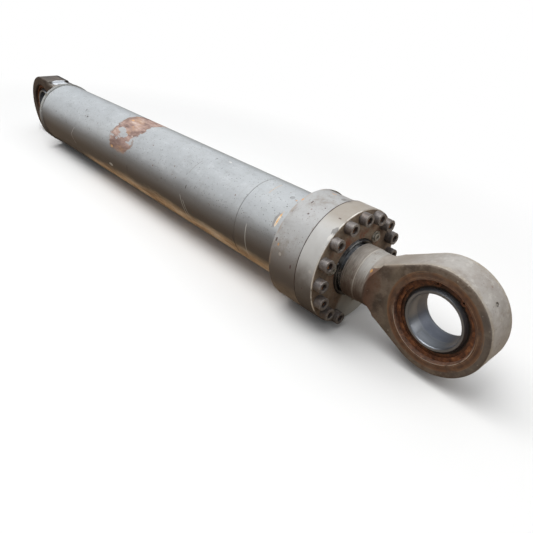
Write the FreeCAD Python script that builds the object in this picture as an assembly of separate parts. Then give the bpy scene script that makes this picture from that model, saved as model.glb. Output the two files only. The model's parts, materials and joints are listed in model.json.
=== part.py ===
import FreeCAD, Part
import math
import os

from FreeCAD import Vector

os.makedirs("parts", exist_ok=True)

# Heavy double-acting boom cylinder, lying along X, drawn fully retracted.
# The origin is the centre of the base eye's pin bore. X runs towards the rod eye,
# Y is the direction of both pins and Z is up. All sizes are in millimetres.

# Main sizes
stroke = 1480.0
barrel_bore_r = 115.0
barrel_wall = 21.5
tube_bevel = 1.5
rod_r = 70.0
collar_rise = 33.5
collar_corner = 2.0
collar_root = 7.0
collar_length = 102.0
collar_neck_length = 197.0
flange_thickness = 63.0
nose_length = 96.0
piston_length = 115.0
nut_length = 55.0
end_gap = 4.0

# Eyes and the spherical plain bearings in them
pin_r = 70.0
ball_wall = 20.0
race_wall = 15.0
eye_wall = 38.5
eye_width = 102.4
eye_edge = 6.0
bore_mouth = 2.5
bearing_width = 70.0
bearing_edge = 1.5
inner_ring_width = 90.0
ring_chamfer = 2.3
groove_depth = 3.0
circlip_thickness = 5.0
circlip_radial = 13.5
circlip_gap_deg = 34.0
circlip_lug_r = 8.0
circlip_hole_r = 2.6
circlip_turn_deg = 78.0
lube_hole_r = 3.0
lube_hole_deg = 150.0

# Base end
pin_to_rim = 185.0
rim_step = 6.1
rim_length = 17.0
rim_bevel = 1.5
cap_spigot = 33.0
cap_lead = 2.0
base_neck_inset = 5.6
base_neck_fillet = 26.0
cushion_bore_r = 62.0
cushion_bore_depth = 20.0

# Rod end
face_to_rod_pin = 280.0
weld_standout = 15.0
neck_step = 7.5
neck_band_step = 1.5
neck_band_length = 32.0
pin_to_shoulder = 190.0
shoulder_fillet = 42.0
shoulder_flare = 34.0
pin_to_flank_corner = 167.0
flank_fillet = 60.0
weld_chamfer = 2.5

# Oil ports: flat pads with a drilled port and four tapped holes
port_r = 16.0
port_bolt_r = 7.0
port_bolt_depth = 30.0
port_bolts_along = 36.5
port_bolts_across = 79.4
base_pad_length = 62.0
base_pad_from_rim = 15.0
base_pad_drop = 12.0
rod_pad_angle = 58.0
rod_pad_half_width = 55.0
rod_pad_margin = 4.0
port_from_seam = 61.0
base_gallery_height = 62.0
base_gallery_r = 13.0

# Gland: flange, nose and the grooves in them
seat_length = 38.0
nose_seat_step = 3.0
nose_relief = 10.0
nose_lead = 2.0
nose_taper = 4.0
flange_chamfer = 3.0
gland_clearance = 0.6
wiper_wall = 15.0
wiper_depth = 13.0
wiper_standout = 6.5
wiper_lip = 3.0
wiper_relief = 1.5
wiper_slope = 2.5
seal_depth = 7.5
seal_length = 14.0
seal_bevel = 1.0
buffer_length = 10.0
guide_depth = 3.0
guide_length = 20.0
guide_bevel = 0.5
groove_spacing = 6.0
gland_cushion_gap = 0.5
gland_cushion_depth = 40.0

# Screws in the gland face
screw_inset = 21.5
screw_positions = 16
screw_gap = (12, 13)
screw_r = 12.0
screw_head_r = 18.0
screw_head_height = 24.0
screw_head_bevel = 1.6
screw_socket_flats = 19.0
screw_socket_depth = 12.0
screw_grip = 30.0
screw_hole_gap = 1.0
screw_hole_spare = 5.0
plug_from_wiper = 19.5
plug_first_deg = 45.0
plug_count = 3
plug_washer_r = 17.0
plug_washer_height = 3.5
plug_head_r = 12.0
plug_head_height = 5.0
plug_head_bevel = 0.5
plug_shank_r = 6.0
plug_depth = 22.0
plug_hole_spare = 2.0
plug_socket_flats = 10.0
plug_socket_depth = 4.0

# Piston, its rings and its nut
piston_clearance = 0.5
piston_bevel = 3.0
tail_step = 17.5
tail_lead = 3.0
rod_edge = 1.0
wear_depth = 3.5
wear_length = 25.0
piston_seal_length = 9.0
piston_seal_height = 3.6
energiser_r = 3.0
ring_margin = 10.0
static_ring_r = 2.6
backup_length = 4.0
nut_wall = 27.5
nut_bevel = 3.0
nut_notches = 4
nut_notch_width = 16.0
nut_notch_depth = 8.0
lock_screw_r = 5.0
lock_screw_length = 16.0
lock_screw_deg = 45.0
lock_socket_flats = 5.0
lock_socket_depth = 5.0
sleeve_wall = 10.0
sleeve_length = 36.0
sleeve_lead = 3.0
sleeve_lead_length = 9.0

# Small fittings
bleed_angle = 135.0
bleed_r = 6.0
bleed_depth = 14.0
bleed_head_r = 8.0
bleed_head_depth = 3.0
bleed_head_sink = 0.5
bleed_socket_flats = 6.0
bleed_socket_depth = 5.0
nipple_angle = 40.0
nipple_recess_r = 5.8
nipple_recess_depth = 8.0
nipple_hex_flats = 9.0
nipple_hex_height = 3.0
nipple_stem_r = 2.2
nipple_ball_r = 2.7
nipple_sink = 1.0
nipple_foot_gap = 2.0

# Clearances
seat_gap = 0.05
run_gap = 0.05
ball_gap = 0.15
side_gap = 0.1

# Radii that follow from the sizes above
barrel_r = barrel_bore_r + barrel_wall
collar_r = barrel_r + collar_rise
rim_r = barrel_r + rim_step
base_neck_r = rim_r - base_neck_inset
ball_r = pin_r + ball_wall
bearing_r = ball_r + race_wall
eye_r = bearing_r + eye_wall
neck_r = rod_r + neck_step
neck_band_r = neck_r - neck_band_step
nose_seat_r = barrel_bore_r + nose_seat_step
nose_gallery_r = nose_seat_r - nose_relief
wiper_r = rod_r + wiper_wall
sleeve_r = rod_r + sleeve_wall
gland_cushion_r = sleeve_r + gland_cushion_gap
tail_r = rod_r - tail_step
nut_r = tail_r + nut_wall
screw_pitch_r = collar_r - screw_inset
screw_hole_r = screw_r + screw_hole_gap
plug_pitch_r = wiper_r + plug_from_wiper

# Stations along the cylinder, each worked out from the one before it
rim_back = pin_to_rim
tube_start = rim_back + rim_length
cap_inner = tube_start + cap_spigot
nut_start = cap_inner + end_gap
piston_start = nut_start + nut_length
piston_end = piston_start + piston_length
gland_inner = piston_end + stroke + end_gap
seam = gland_inner + nose_length
face = seam + flange_thickness
collar_back = seam - collar_length
tube_end = collar_back - collar_neck_length
weld_x = face + weld_standout
rod_pin_x = face + face_to_rod_pin
half_width = eye_width / 2
port_x = seam - port_from_seam

X_AXIS = Vector(1, 0, 0)
Y_AXIS = Vector(0, 1, 0)
Z_AXIS = Vector(0, 0, 1)
CENTRE = Vector(0, 0, 0)


def rod_x(x0, x1, r):
    """Solid round bar along X."""
    return Part.makeCylinder(r, x1 - x0, Vector(x0, 0, 0), X_AXIS)


def ring_x(x0, x1, r_out, r_in):
    """Plain ring about X."""
    return rod_x(x0, x1, r_out).cut(rod_x(x0 - 1, x1 + 1, r_in))


def turned(points):
    """Solid turned about X from (x, radius) points."""
    corners = [Vector(x, 0, r) for x, r in points]
    face_shape = Part.Face(Part.makePolygon(corners + corners[:1]))
    return face_shape.revolve(CENTRE, X_AXIS, 360)


def bevelled_ring(x0, x1, r_out, r_in, bevel):
    """Ring about X with its outer corners bevelled."""
    return turned([
        (x0, r_in), (x0, r_out - bevel), (x0 + bevel, r_out),
        (x1 - bevel, r_out), (x1, r_out - bevel), (x1, r_in),
    ])


def round_section_ring(x, r_mid, section_r):
    """Round-section sealing ring about X."""
    return Part.makeTorus(r_mid, section_r, Vector(x, 0, 0), X_AXIS)


def rod_y(y0, y1, r, x=0.0, z=0.0):
    """Solid round bar along Y."""
    return Part.makeCylinder(r, y1 - y0, Vector(x, y0, z), Y_AXIS)


def hexagon(flats, base, direction, length):
    """Hexagonal bar across the given flats."""
    corner_r = flats / math.sqrt(3)
    corners = []
    for i in range(6):
        angle = math.radians(60 * i)
        corners.append(Vector(corner_r * math.cos(angle), corner_r * math.sin(angle), 0))
    bar = Part.Face(Part.makePolygon(corners + corners[:1])).extrude(Vector(0, 0, length))
    bar.Placement = FreeCAD.Placement(base, FreeCAD.Rotation(Z_AXIS, direction))
    return bar


def around_x(shape, degrees):
    """Copy of a shape turned about the cylinder's axis."""
    copy = shape.copy()
    copy.rotate(CENTRE, X_AXIS, degrees)
    return copy


def moved(shape, x):
    """Copy of a shape shifted along X."""
    copy = shape.copy()
    copy.translate(Vector(x, 0, 0))
    return copy


def turned_end_for_end(shape):
    """Copy of a shape turned to look the other way along X."""
    copy = shape.copy()
    copy.rotate(CENTRE, Z_AXIS, 180)
    return copy


def joined(shapes):
    """One solid from touching ones, without leftover seams."""
    result = shapes[0]
    for shape in shapes[1:]:
        result = result.fuse(shape)
    return result.removeSplitter()


def eye_side_outline(shoulder_x, shoulder_r, corner_x):
    """Eye seen from the side: a circle with two tangent flanks that bend into the neck.

    The flanks meet the neck's radius at corner_x, where a concave arc rounds the bend.
    """
    reach = math.hypot(corner_x, shoulder_r)
    touch = math.atan2(shoulder_r, corner_x) + math.acos(eye_r / reach)
    slope = math.pi / 2 - touch
    on_circle = (eye_r * math.cos(touch), eye_r * math.sin(touch))
    run = min(flank_fillet * math.tan(slope / 2), shoulder_x - corner_x)
    if run <= 0:
        flank = [on_circle, (shoulder_x, shoulder_r)]
    else:
        arc_r = run / math.tan(slope / 2)
        flank = [
            on_circle,
            (corner_x - run * math.cos(slope), shoulder_r + run * math.sin(slope)),
            (corner_x + run - arc_r * math.sin(slope / 2),
             shoulder_r + arc_r * (1 - math.cos(slope / 2))),
            (corner_x + run, shoulder_r),
            (shoulder_x, shoulder_r),
        ]
    edges = []
    for side in (1, -1):
        points = [Vector(x, 0, side * z) for x, z in flank]
        edges.append(Part.makeLine(points[0], points[1]))
        if len(points) > 2:
            edges.append(Part.Arc(points[1], points[2], points[3]).toShape())
            if (points[4] - points[3]).Length > 0.01:
                edges.append(Part.makeLine(points[3], points[4]))
    low = Vector(on_circle[0], 0, -on_circle[1])
    high = Vector(on_circle[0], 0, on_circle[1])
    edges.append(Part.Arc(low, Vector(-eye_r, 0, 0), high).toShape())
    edges.append(Part.makeLine(Vector(shoulder_x, 0, -shoulder_r), Vector(shoulder_x, 0, shoulder_r)))
    return Part.Face(Part.Wire(Part.__sortEdges__(edges)))


def eye_plan_outline(shoulder_x, shoulder_r, fillet_r):
    """Eye seen from above: flat cheeks that sweep out to the neck."""
    swept = min(shoulder_r - half_width, fillet_r)
    flat_end = shoulder_x - math.sqrt(2 * fillet_r * swept - swept ** 2)
    back_x = -eye_r - 1
    half_angle = math.acos(1 - swept / fillet_r) / 2
    mid_x = flat_end + fillet_r * math.sin(half_angle)
    mid_y = half_width + fillet_r * (1 - math.cos(half_angle))
    end_y = half_width + swept
    edges = []
    for side in (1, -1):
        start = Vector(flat_end, side * half_width, 0)
        edges.append(Part.makeLine(Vector(back_x, side * half_width, 0), start))
        edges.append(Part.Arc(start, Vector(mid_x, side * mid_y, 0),
                              Vector(shoulder_x, side * end_y, 0)).toShape())
    for x, y in ((back_x, half_width), (shoulder_x, end_y)):
        edges.append(Part.makeLine(Vector(x, -y, 0), Vector(x, y, 0)))
    return Part.Face(Part.Wire(Part.__sortEdges__(edges)))


def shoulder_tool(shoulder_x, shoulder_r):
    """Ring that trims an eye's corners to a concave flare round the neck."""
    flare_x = shoulder_x - shoulder_flare
    flare_r = shoulder_r + shoulder_flare
    bend = shoulder_flare * (1 - math.sqrt(0.5))
    foot = Vector(shoulder_x, 0, shoulder_r)
    corners = [Vector(x, 0, r) for x, r in (
        (flare_x, flare_r), (flare_x, 2 * flare_r), (shoulder_x + 1, 2 * flare_r),
        (shoulder_x + 1, shoulder_r))]
    corners.append(foot)
    edges = [Part.Arc(foot, Vector(flare_x + bend, 0, shoulder_r + bend), corners[0]).toShape()]
    edges += [Part.makeLine(start, end) for start, end in zip(corners, corners[1:])]
    return Part.Face(Part.Wire(edges)).revolve(CENTRE, X_AXIS, 360)


def eye_blank(shoulder_x, shoulder_r, fillet_r, corner_x):
    """Forged eye without its bore, its neck pointing along +X."""
    deep = 2 * max(eye_r, shoulder_r)
    side = eye_side_outline(shoulder_x, shoulder_r, corner_x)
    side.translate(Vector(0, -deep / 2, 0))
    plan = eye_plan_outline(shoulder_x, shoulder_r, fillet_r)
    plan.translate(Vector(0, 0, -deep / 2 - 1))
    blank = side.extrude(Vector(0, deep, 0)).common(plan.extrude(Vector(0, 0, deep + 2)))
    blank = blank.cut(shoulder_tool(shoulder_x, shoulder_r))
    rims = [edge for edge in blank.Edges if on_cheek(edge) and edge.BoundBox.XLength > 1]
    return blank.makeFillet(eye_edge, rims)


def on_cheek(edge):
    """True for an edge that lies in one of the eye's two flat cheeks."""
    box = edge.BoundBox
    return box.YLength < 0.01 and abs(abs(box.YMin) - half_width) < 0.01


def eye_bore():
    """What is cut from an eye: the bearing seat, circlip grooves and mouth bevels."""
    tool = rod_y(-half_width - 1, half_width + 1, bearing_r)
    groove_inner = bearing_width / 2
    groove_outer = groove_inner + circlip_thickness + 2 * side_gap
    for side in (1, -1):
        low, high = sorted((side * groove_inner, side * groove_outer))
        tool = tool.fuse(rod_y(low, high, bearing_r + groove_depth))
        mouth = Part.makeCone(bearing_r, bearing_r + bore_mouth, bore_mouth,
                              Vector(0, side * (half_width - bore_mouth), 0),
                              Vector(0, side, 0))
        tool = tool.fuse(mouth)
    return tool


def radial_tool(angle, r_from, r_to, r):
    """Round bar pointing away from the pin at an angle above X."""
    way = Vector(math.cos(math.radians(angle)), 0, math.sin(math.radians(angle)))
    return Part.makeCylinder(r, r_to - r_from, way * r_from, way)


def nipple_holes(angle):
    """Recess and drilling for the grease nipple in the eye's rim."""
    recess = radial_tool(angle, eye_r - nipple_recess_depth, eye_r + 1, nipple_recess_r)
    return recess.fuse(radial_tool(angle, bearing_r - 1, eye_r, lube_hole_r))


def grease_nipple(angle):
    """Grease nipple that sits in its recess, below the eye's rim."""
    way = Vector(math.cos(math.radians(angle)), 0, math.sin(math.radians(angle)))
    seat = eye_r - nipple_recess_depth
    tip = nipple_recess_depth - nipple_hex_height - nipple_ball_r - nipple_sink
    shank = Part.makeCylinder(lube_hole_r - seat_gap, seat - bearing_r - nipple_foot_gap,
                              way * (bearing_r + nipple_foot_gap), way)
    body = hexagon(nipple_hex_flats, way * seat, way, nipple_hex_height)
    stem = Part.makeCylinder(nipple_stem_r, tip + nipple_hex_height, way * seat, way)
    ball = Part.makeSphere(nipple_ball_r, way * (seat + nipple_hex_height + tip))
    return joined([shank, body, stem, ball])


def turned_about_pin(points, arc_mid=None):
    """Ring turned about Y from (radius, y) points; an arc may close the last side."""
    corners = [Vector(r, y, 0) for r, y in points]
    edges = [Part.makeLine(a, b) for a, b in zip(corners, corners[1:])]
    edges.append(Part.Arc(corners[-1], Vector(arc_mid, 0, 0), corners[0]).toShape())
    return Part.Face(Part.Wire(edges)).revolve(CENTRE, Y_AXIS, 360)


def bearing_inner_ring():
    """Inner ring of the spherical plain bearing, with two lubrication holes."""
    half = inner_ring_width / 2
    ball = ball_r - ball_gap
    land = math.sqrt(ball ** 2 - half ** 2)
    ring = turned_about_pin([
        (land, -half), (pin_r + ring_chamfer, -half), (pin_r, -half + ring_chamfer),
        (pin_r, half - ring_chamfer), (pin_r + ring_chamfer, half), (land, half),
    ], ball)
    for angle in (lube_hole_deg, lube_hole_deg - 180):
        ring = ring.cut(radial_tool(angle, pin_r - 1, ball_r + 1, lube_hole_r))
    return ring


def bearing_outer_ring():
    """Outer ring of the bearing, hollowed to the ball's shape."""
    half = bearing_width / 2
    mouth = math.sqrt(ball_r ** 2 - half ** 2)
    outside = bearing_r - seat_gap
    ring = turned_about_pin([
        (mouth, half), (outside - bearing_edge, half), (outside, half - bearing_edge),
        (outside, -half + bearing_edge), (outside - bearing_edge, -half), (mouth, -half),
    ], ball_r)
    return ring.cut(radial_tool(nipple_angle, ball_r - 1, bearing_r + 1, lube_hole_r))


def circlip(side):
    """Internal circlip with two eared ends, in the groove on one side."""
    y_low = bearing_width / 2 + side_gap
    outside = bearing_r + groove_depth - 2 * side_gap
    inside = outside - circlip_radial
    high = y_low + circlip_thickness
    ring = rod_y(y_low, high, outside).cut(rod_y(y_low - 1, high + 1, inside))
    half_gap = math.radians(circlip_gap_deg / 2)
    reach = 2 * outside
    wedge = Part.Face(Part.makePolygon([
        CENTRE,
        Vector(reach * math.cos(half_gap), 0, reach * math.sin(half_gap)),
        Vector(reach * math.cos(half_gap), 0, -reach * math.sin(half_gap)),
        CENTRE,
    ])).extrude(Vector(0, 2 * high, 0))
    ring = ring.cut(wedge)
    lug_mid = inside + circlip_lug_r / 3
    lug_angle = half_gap + circlip_lug_r / lug_mid
    for turn in (1, -1):
        spot = (lug_mid * math.cos(lug_angle), turn * lug_mid * math.sin(lug_angle))
        ring = ring.fuse(rod_y(y_low, high, circlip_lug_r, spot[0], spot[1]))
        ring = ring.cut(rod_y(y_low - 1, high + 1, circlip_hole_r, spot[0], spot[1]))
    ring.rotate(CENTRE, Y_AXIS, -circlip_turn_deg)
    if side < 0:
        ring = ring.mirror(CENTRE, Y_AXIS)
    return ring.removeSplitter()


def circlip_pair():
    """Both circlips of one eye."""
    return Part.makeCompound([circlip(1), circlip(-1)])


def port_bolt_tools(top, mid_x):
    """Four tapped holes round a port, cut down from a pad that faces +Z."""
    holes = []
    for dx in (-port_bolts_along / 2, port_bolts_along / 2):
        for dy in (-port_bolts_across / 2, port_bolts_across / 2):
            holes.append(Part.makeCylinder(
                port_bolt_r, port_bolt_depth, Vector(mid_x + dx, dy, top), -Z_AXIS))
    return holes


def base_end():
    """Base eye forged in one with the cap that closes the barrel."""
    blank = eye_blank(rim_back, base_neck_r, base_neck_fillet, rim_back)
    cap = turned([
        (rim_back, 0), (rim_back, rim_r - rim_bevel), (rim_back + rim_bevel, rim_r),
        (tube_start - rim_bevel, rim_r), (tube_start, rim_r - rim_bevel),
        (tube_start, barrel_bore_r - seat_gap), (cap_inner - cap_lead, barrel_bore_r - seat_gap),
        (cap_inner, barrel_bore_r - cap_lead), (cap_inner, 0),
    ])
    body = joined([blank, cap])
    pad_end = rim_back - base_pad_from_rim
    pad_top = eye_r - base_pad_drop
    pad = Part.makeBox(base_pad_length, 2 * rim_r, 2 * eye_r,
                       Vector(pad_end - base_pad_length, -rim_r, pad_top))
    port_mid = pad_end - base_pad_length / 2
    down = Part.makeCylinder(port_r, pad_top - base_gallery_height + port_r,
                             Vector(port_mid, 0, pad_top), -Z_AXIS)
    along = Part.makeCylinder(base_gallery_r, cap_inner + 1 - port_mid,
                              Vector(port_mid, 0, base_gallery_height), X_AXIS)
    body = body.cut(pad).cut(down).cut(along)
    for hole in port_bolt_tools(pad_top, port_mid):
        body = body.cut(hole)
    body = body.cut(rod_x(cap_inner - cushion_bore_depth, cap_inner + 1, cushion_bore_r))
    body = body.cut(eye_bore()).cut(nipple_holes(180 - nipple_angle))
    for tool in bleed_tools():
        body = body.cut(tool)
    return body


def bleed_tools():
    """Stepped hole for the bleed plug in the base rim."""
    mid = rim_back + rim_length / 2
    hole = Part.makeCylinder(bleed_r + seat_gap, bleed_depth + 1,
                             Vector(mid, 0, rim_r - bleed_depth - 1), Z_AXIS)
    recess = Part.makeCylinder(bleed_head_r + seat_gap, 2 * bleed_head_depth,
                               Vector(mid, 0, rim_r - bleed_head_depth), Z_AXIS)
    return [around_x(tool, bleed_angle - 90) for tool in (hole, recess)]


def bleed_plug():
    """Hex-socket plug that closes the bleed hole."""
    mid = rim_back + rim_length / 2
    shank = Part.makeCylinder(bleed_r, bleed_depth, Vector(mid, 0, rim_r - bleed_depth), Z_AXIS)
    head = Part.makeCylinder(bleed_head_r, bleed_head_depth - bleed_head_sink,
                             Vector(mid, 0, rim_r - bleed_head_depth), Z_AXIS)
    socket = hexagon(bleed_socket_flats, Vector(mid, 0, rim_r - bleed_socket_depth),
                     Z_AXIS, 2 * bleed_socket_depth)
    return around_x(joined([shank, head]).cut(socket), bleed_angle - 90)


def barrel_tube():
    """Honed tube between the cap and the collar, bevelled for its welds."""
    return turned([
        (tube_start, barrel_bore_r), (tube_start, barrel_r - tube_bevel),
        (tube_start + tube_bevel, barrel_r), (tube_end - tube_bevel, barrel_r),
        (tube_end, barrel_r - tube_bevel), (tube_end, barrel_bore_r),
    ])


def barrel_collar():
    """Flanged collar with a neck that continues the tube, tapped for the gland."""
    seat_end = gland_inner - nose_lead
    body = turned([
        (tube_end, barrel_bore_r), (tube_end, barrel_r - tube_bevel),
        (tube_end + tube_bevel, barrel_r), (collar_back - collar_root, barrel_r),
        (collar_back, barrel_r + collar_root), (collar_back, collar_r - collar_corner),
        (collar_back + collar_corner, collar_r), (seam, collar_r), (seam, nose_seat_r),
        (seat_end, nose_seat_r), (seat_end - 2 * nose_seat_step, barrel_bore_r),
    ])
    depth = math.sqrt(collar_r ** 2 - rod_pad_half_width ** 2)
    flat = Part.makeBox(collar_length - 2 * rod_pad_margin, 2 * collar_r, collar_r,
                        Vector(collar_back + rod_pad_margin, -collar_r, depth))
    tools = [flat] + port_bolt_tools(depth, port_x)
    tools.append(Part.makeCylinder(port_r, depth, Vector(port_x, 0, depth), -Z_AXIS))
    for tool in tools:
        body = body.cut(around_x(tool, rod_pad_angle - 90))
    for degrees in screw_angles():
        hole = rod_x(seam - screw_grip - screw_hole_spare, seam + 1, screw_r + seat_gap)
        hole.translate(Vector(0, screw_pitch_r, 0))
        body = body.cut(around_x(hole, degrees))
    return body


def screw_angles():
    """Angles of the gland screws from +Y; two places at the bottom stay empty."""
    step = 360.0 / screw_positions
    return [step * i for i in range(screw_positions) if i not in screw_gap]


def plug_angles():
    """Angles of the three small plug screws."""
    return [plug_first_deg + 360.0 / plug_count * i for i in range(plug_count)]


def groove_stations():
    """Start and end of each groove in the gland's bore, from the face inwards."""
    stations = {}
    edge = face - wiper_depth - groove_spacing
    for name, length in (("seal", seal_length), ("guide_1", guide_length),
                         ("buffer", buffer_length), ("guide_2", guide_length)):
        stations[name] = (edge - length, edge)
        edge -= length + groove_spacing
    return stations


def gland():
    """Bolted head: flange, nose that seats in the collar, grooves and drilled holes."""
    inner = rod_r + gland_clearance
    seat_start = seam - seat_length
    body = turned([
        (gland_inner, inner), (gland_inner, nose_gallery_r - nose_lead),
        (gland_inner + nose_lead, nose_gallery_r), (seat_start - nose_taper, nose_gallery_r),
        (seat_start, nose_seat_r - seat_gap), (seam, nose_seat_r - seat_gap),
        (seam, collar_r), (face - flange_chamfer, collar_r),
        (face, collar_r - flange_chamfer), (face, inner),
    ])
    body = body.cut(rod_x(gland_inner - 1, gland_inner + gland_cushion_depth, gland_cushion_r))
    body = body.cut(rod_x(face - wiper_depth, face + 1, wiper_r))
    depths = {"seal": seal_depth, "buffer": seal_depth,
              "guide_1": guide_depth, "guide_2": guide_depth}
    for name, (start, end) in groove_stations().items():
        body = body.cut(rod_x(start, end, rod_r + depths[name]))
    ring_mid, backup_start = nose_ring_stations()
    groove_floor = nose_seat_r - 2 * static_ring_r
    groove = ring_x(ring_mid - static_ring_r - side_gap, backup_start + backup_length + side_gap,
                    nose_seat_r + 1, groove_floor - side_gap)
    body = body.cut(groove)
    for degrees in screw_angles():
        hole = rod_x(seam - 1, face + 1, screw_hole_r)
        hole.translate(Vector(0, screw_pitch_r, 0))
        body = body.cut(around_x(hole, degrees))
    for degrees in plug_angles():
        hole = rod_x(face - plug_depth - plug_hole_spare, face + 1, plug_shank_r + seat_gap)
        hole.translate(Vector(0, plug_pitch_r, 0))
        body = body.cut(around_x(hole, degrees))
    return body


def nose_ring_stations():
    """Middle of the nose's sealing ring and start of the backup ring beside it."""
    ring_mid = seam - seat_length / 2
    return ring_mid, ring_mid + static_ring_r + side_gap


def socket_screw(x_seat, x_end, shank_r, head_r, head_height, bevel, flats, socket_depth):
    """Socket head screw along X with its head's edge rounded off by a bevel."""
    top = x_seat + head_height
    head = turned([
        (x_seat, 0), (x_seat, head_r), (top - bevel, head_r), (top, head_r - bevel), (top, 0),
    ])
    screw = joined([head, rod_x(x_end, x_seat, shank_r)])
    socket = hexagon(flats, Vector(top - socket_depth, 0, 0), X_AXIS, socket_depth + 1)
    return screw.cut(socket)


def gland_screws():
    """All the screws that hold the gland on the collar."""
    screw = socket_screw(face, seam - screw_grip, screw_r, screw_head_r, screw_head_height,
                         screw_head_bevel, screw_socket_flats, screw_socket_depth)
    screw.translate(Vector(0, screw_pitch_r, 0))
    return Part.makeCompound([around_x(screw, degrees) for degrees in screw_angles()])


def gland_plug_screws():
    """Three short screws with washers that close tapped holes in the gland face."""
    washer = rod_x(face, face + plug_washer_height, plug_washer_r)
    screw = socket_screw(face + plug_washer_height, face - plug_depth, plug_shank_r, plug_head_r,
                         plug_head_height, plug_head_bevel, plug_socket_flats, plug_socket_depth)
    plug = joined([washer, screw])
    plug.translate(Vector(0, plug_pitch_r, 0))
    return Part.makeCompound([around_x(plug, degrees) for degrees in plug_angles()])


def rod_wiper():
    """Wiper pressed in the gland's mouth, its lip standing out round the rod."""
    lip = rod_r + run_gap
    hollow = lip + wiper_relief
    outside = wiper_r - seat_gap
    back = face - wiper_depth + side_gap
    front = face + wiper_standout
    return turned([
        (back, hollow), (back, outside), (face, outside), (face + 1, outside - 1),
        (front - wiper_slope, outside - 1), (front, outside - 1 - wiper_slope), (front, lip),
        (front - wiper_lip, lip), (front - wiper_lip - wiper_relief, hollow),
    ])


def groove_ring(name, depth, bevel):
    """Ring that fills one groove of the gland's bore and runs on the rod."""
    start, end = groove_stations()[name]
    return bevelled_ring(start + side_gap, end - side_gap, rod_r + depth - seat_gap,
                         rod_r + run_gap, bevel)


def rod_guide_rings():
    """Both guide rings of the gland."""
    return Part.makeCompound([groove_ring("guide_1", guide_depth, guide_bevel),
                              groove_ring("guide_2", guide_depth, guide_bevel)])


def gland_o_ring():
    """Round ring that seals the gland's nose in the collar."""
    ring_mid, _ = nose_ring_stations()
    section = static_ring_r - seat_gap
    return round_section_ring(ring_mid, nose_seat_r - static_ring_r - seat_gap, section)


def gland_backup_ring():
    """Flat ring that backs the round one up."""
    _, start = nose_ring_stations()
    return ring_x(start, start + backup_length, nose_seat_r - 2 * seat_gap,
                  nose_seat_r - 2 * static_ring_r)


def piston_rod():
    """Chromed rod with a turned-down tail for the piston and its nut."""
    return turned([
        (nut_start, 0), (nut_start, tail_r - tail_lead), (nut_start + tail_lead, tail_r),
        (piston_end, tail_r), (piston_end, rod_r - rod_edge), (piston_end + rod_edge, rod_r),
        (weld_x, rod_r), (weld_x, 0),
    ])


def rod_eye():
    """Forged rod eye with its turned neck, friction-welded to the rod."""
    blank = eye_blank(pin_to_shoulder, neck_band_r, shoulder_fillet, pin_to_flank_corner)
    band_end = pin_to_shoulder + neck_band_length
    neck_end = face_to_rod_pin - weld_standout
    neck = turned([
        (pin_to_shoulder, 0), (pin_to_shoulder, neck_band_r), (band_end, neck_band_r),
        (band_end + neck_band_step, neck_r), (neck_end - weld_chamfer, neck_r),
        (neck_end, neck_r - weld_chamfer), (neck_end, 0),
    ])
    body = joined([blank, neck]).cut(eye_bore()).cut(nipple_holes(180 - nipple_angle))
    return moved(turned_end_for_end(body), rod_pin_x)


def wear_ring_stations():
    """Start of the two wear rings, one near each end of the piston."""
    return (piston_start + ring_margin, piston_end - ring_margin - wear_length)


def piston():
    """Piston on the rod's tail, grooved for its rings."""
    outside = barrel_bore_r - piston_clearance
    body = bevelled_ring(piston_start, piston_end, outside, tail_r + seat_gap, piston_bevel)
    for start in wear_ring_stations():
        body = body.cut(ring_x(start - side_gap, start + wear_length + side_gap,
                               barrel_bore_r + 1, barrel_bore_r - wear_depth))
    mid = piston_start + piston_length / 2
    half = piston_seal_length / 2 + side_gap
    floor = barrel_bore_r - piston_seal_height - 2 * energiser_r
    body = body.cut(ring_x(mid - half, mid + half, barrel_bore_r + 1, floor))
    groove = rod_x(piston_end - ring_margin - 2 * static_ring_r - side_gap,
                   piston_end - ring_margin, tail_r + 2 * static_ring_r)
    return body.cut(groove)


def piston_wear_rings():
    """Two wear rings that carry the piston in the bore."""
    return Part.makeCompound([
        bevelled_ring(start, start + wear_length, barrel_bore_r - run_gap,
                      barrel_bore_r - wear_depth + side_gap, guide_bevel)
        for start in wear_ring_stations()])


def piston_seal():
    """Slide ring that seals the piston in the bore."""
    mid = piston_start + piston_length / 2
    half = piston_seal_length / 2
    return bevelled_ring(mid - half, mid + half, barrel_bore_r - run_gap,
                         barrel_bore_r - piston_seal_height, guide_bevel)


def piston_seal_energiser():
    """Round ring that presses the slide ring outwards."""
    mid = piston_start + piston_length / 2
    section = energiser_r - side_gap
    return round_section_ring(mid, barrel_bore_r - piston_seal_height - energiser_r, section)


def piston_o_ring():
    """Round ring that seals the piston on the rod's tail."""
    mid = piston_end - ring_margin - static_ring_r - side_gap / 2
    section = static_ring_r - side_gap / 2
    return round_section_ring(mid, tail_r + static_ring_r, section)


def piston_nut():
    """Notched nut that clamps the piston against the rod's shoulder."""
    nut = turned([
        (nut_start, tail_r + seat_gap), (nut_start, nut_r - nut_bevel),
        (nut_start + nut_bevel, nut_r), (piston_start, nut_r), (piston_start, tail_r + seat_gap),
    ])
    notch = Part.makeBox(nut_length / 2, nut_notch_width, nut_notch_depth + 1,
                         Vector(nut_start - 1, -nut_notch_width / 2, nut_r - nut_notch_depth))
    for i in range(nut_notches):
        nut = nut.cut(around_x(notch, 360.0 / nut_notches * i))
    return nut.cut(around_x(lock_screw_hole(), lock_screw_deg))


def lock_screw_hole():
    """Radial hole for the nut's lock screw, pointing up."""
    mid = piston_start - nut_length / 3
    return Part.makeCylinder(lock_screw_r + seat_gap, nut_r - tail_r + 1,
                             Vector(mid, 0, tail_r), Z_AXIS)


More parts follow.
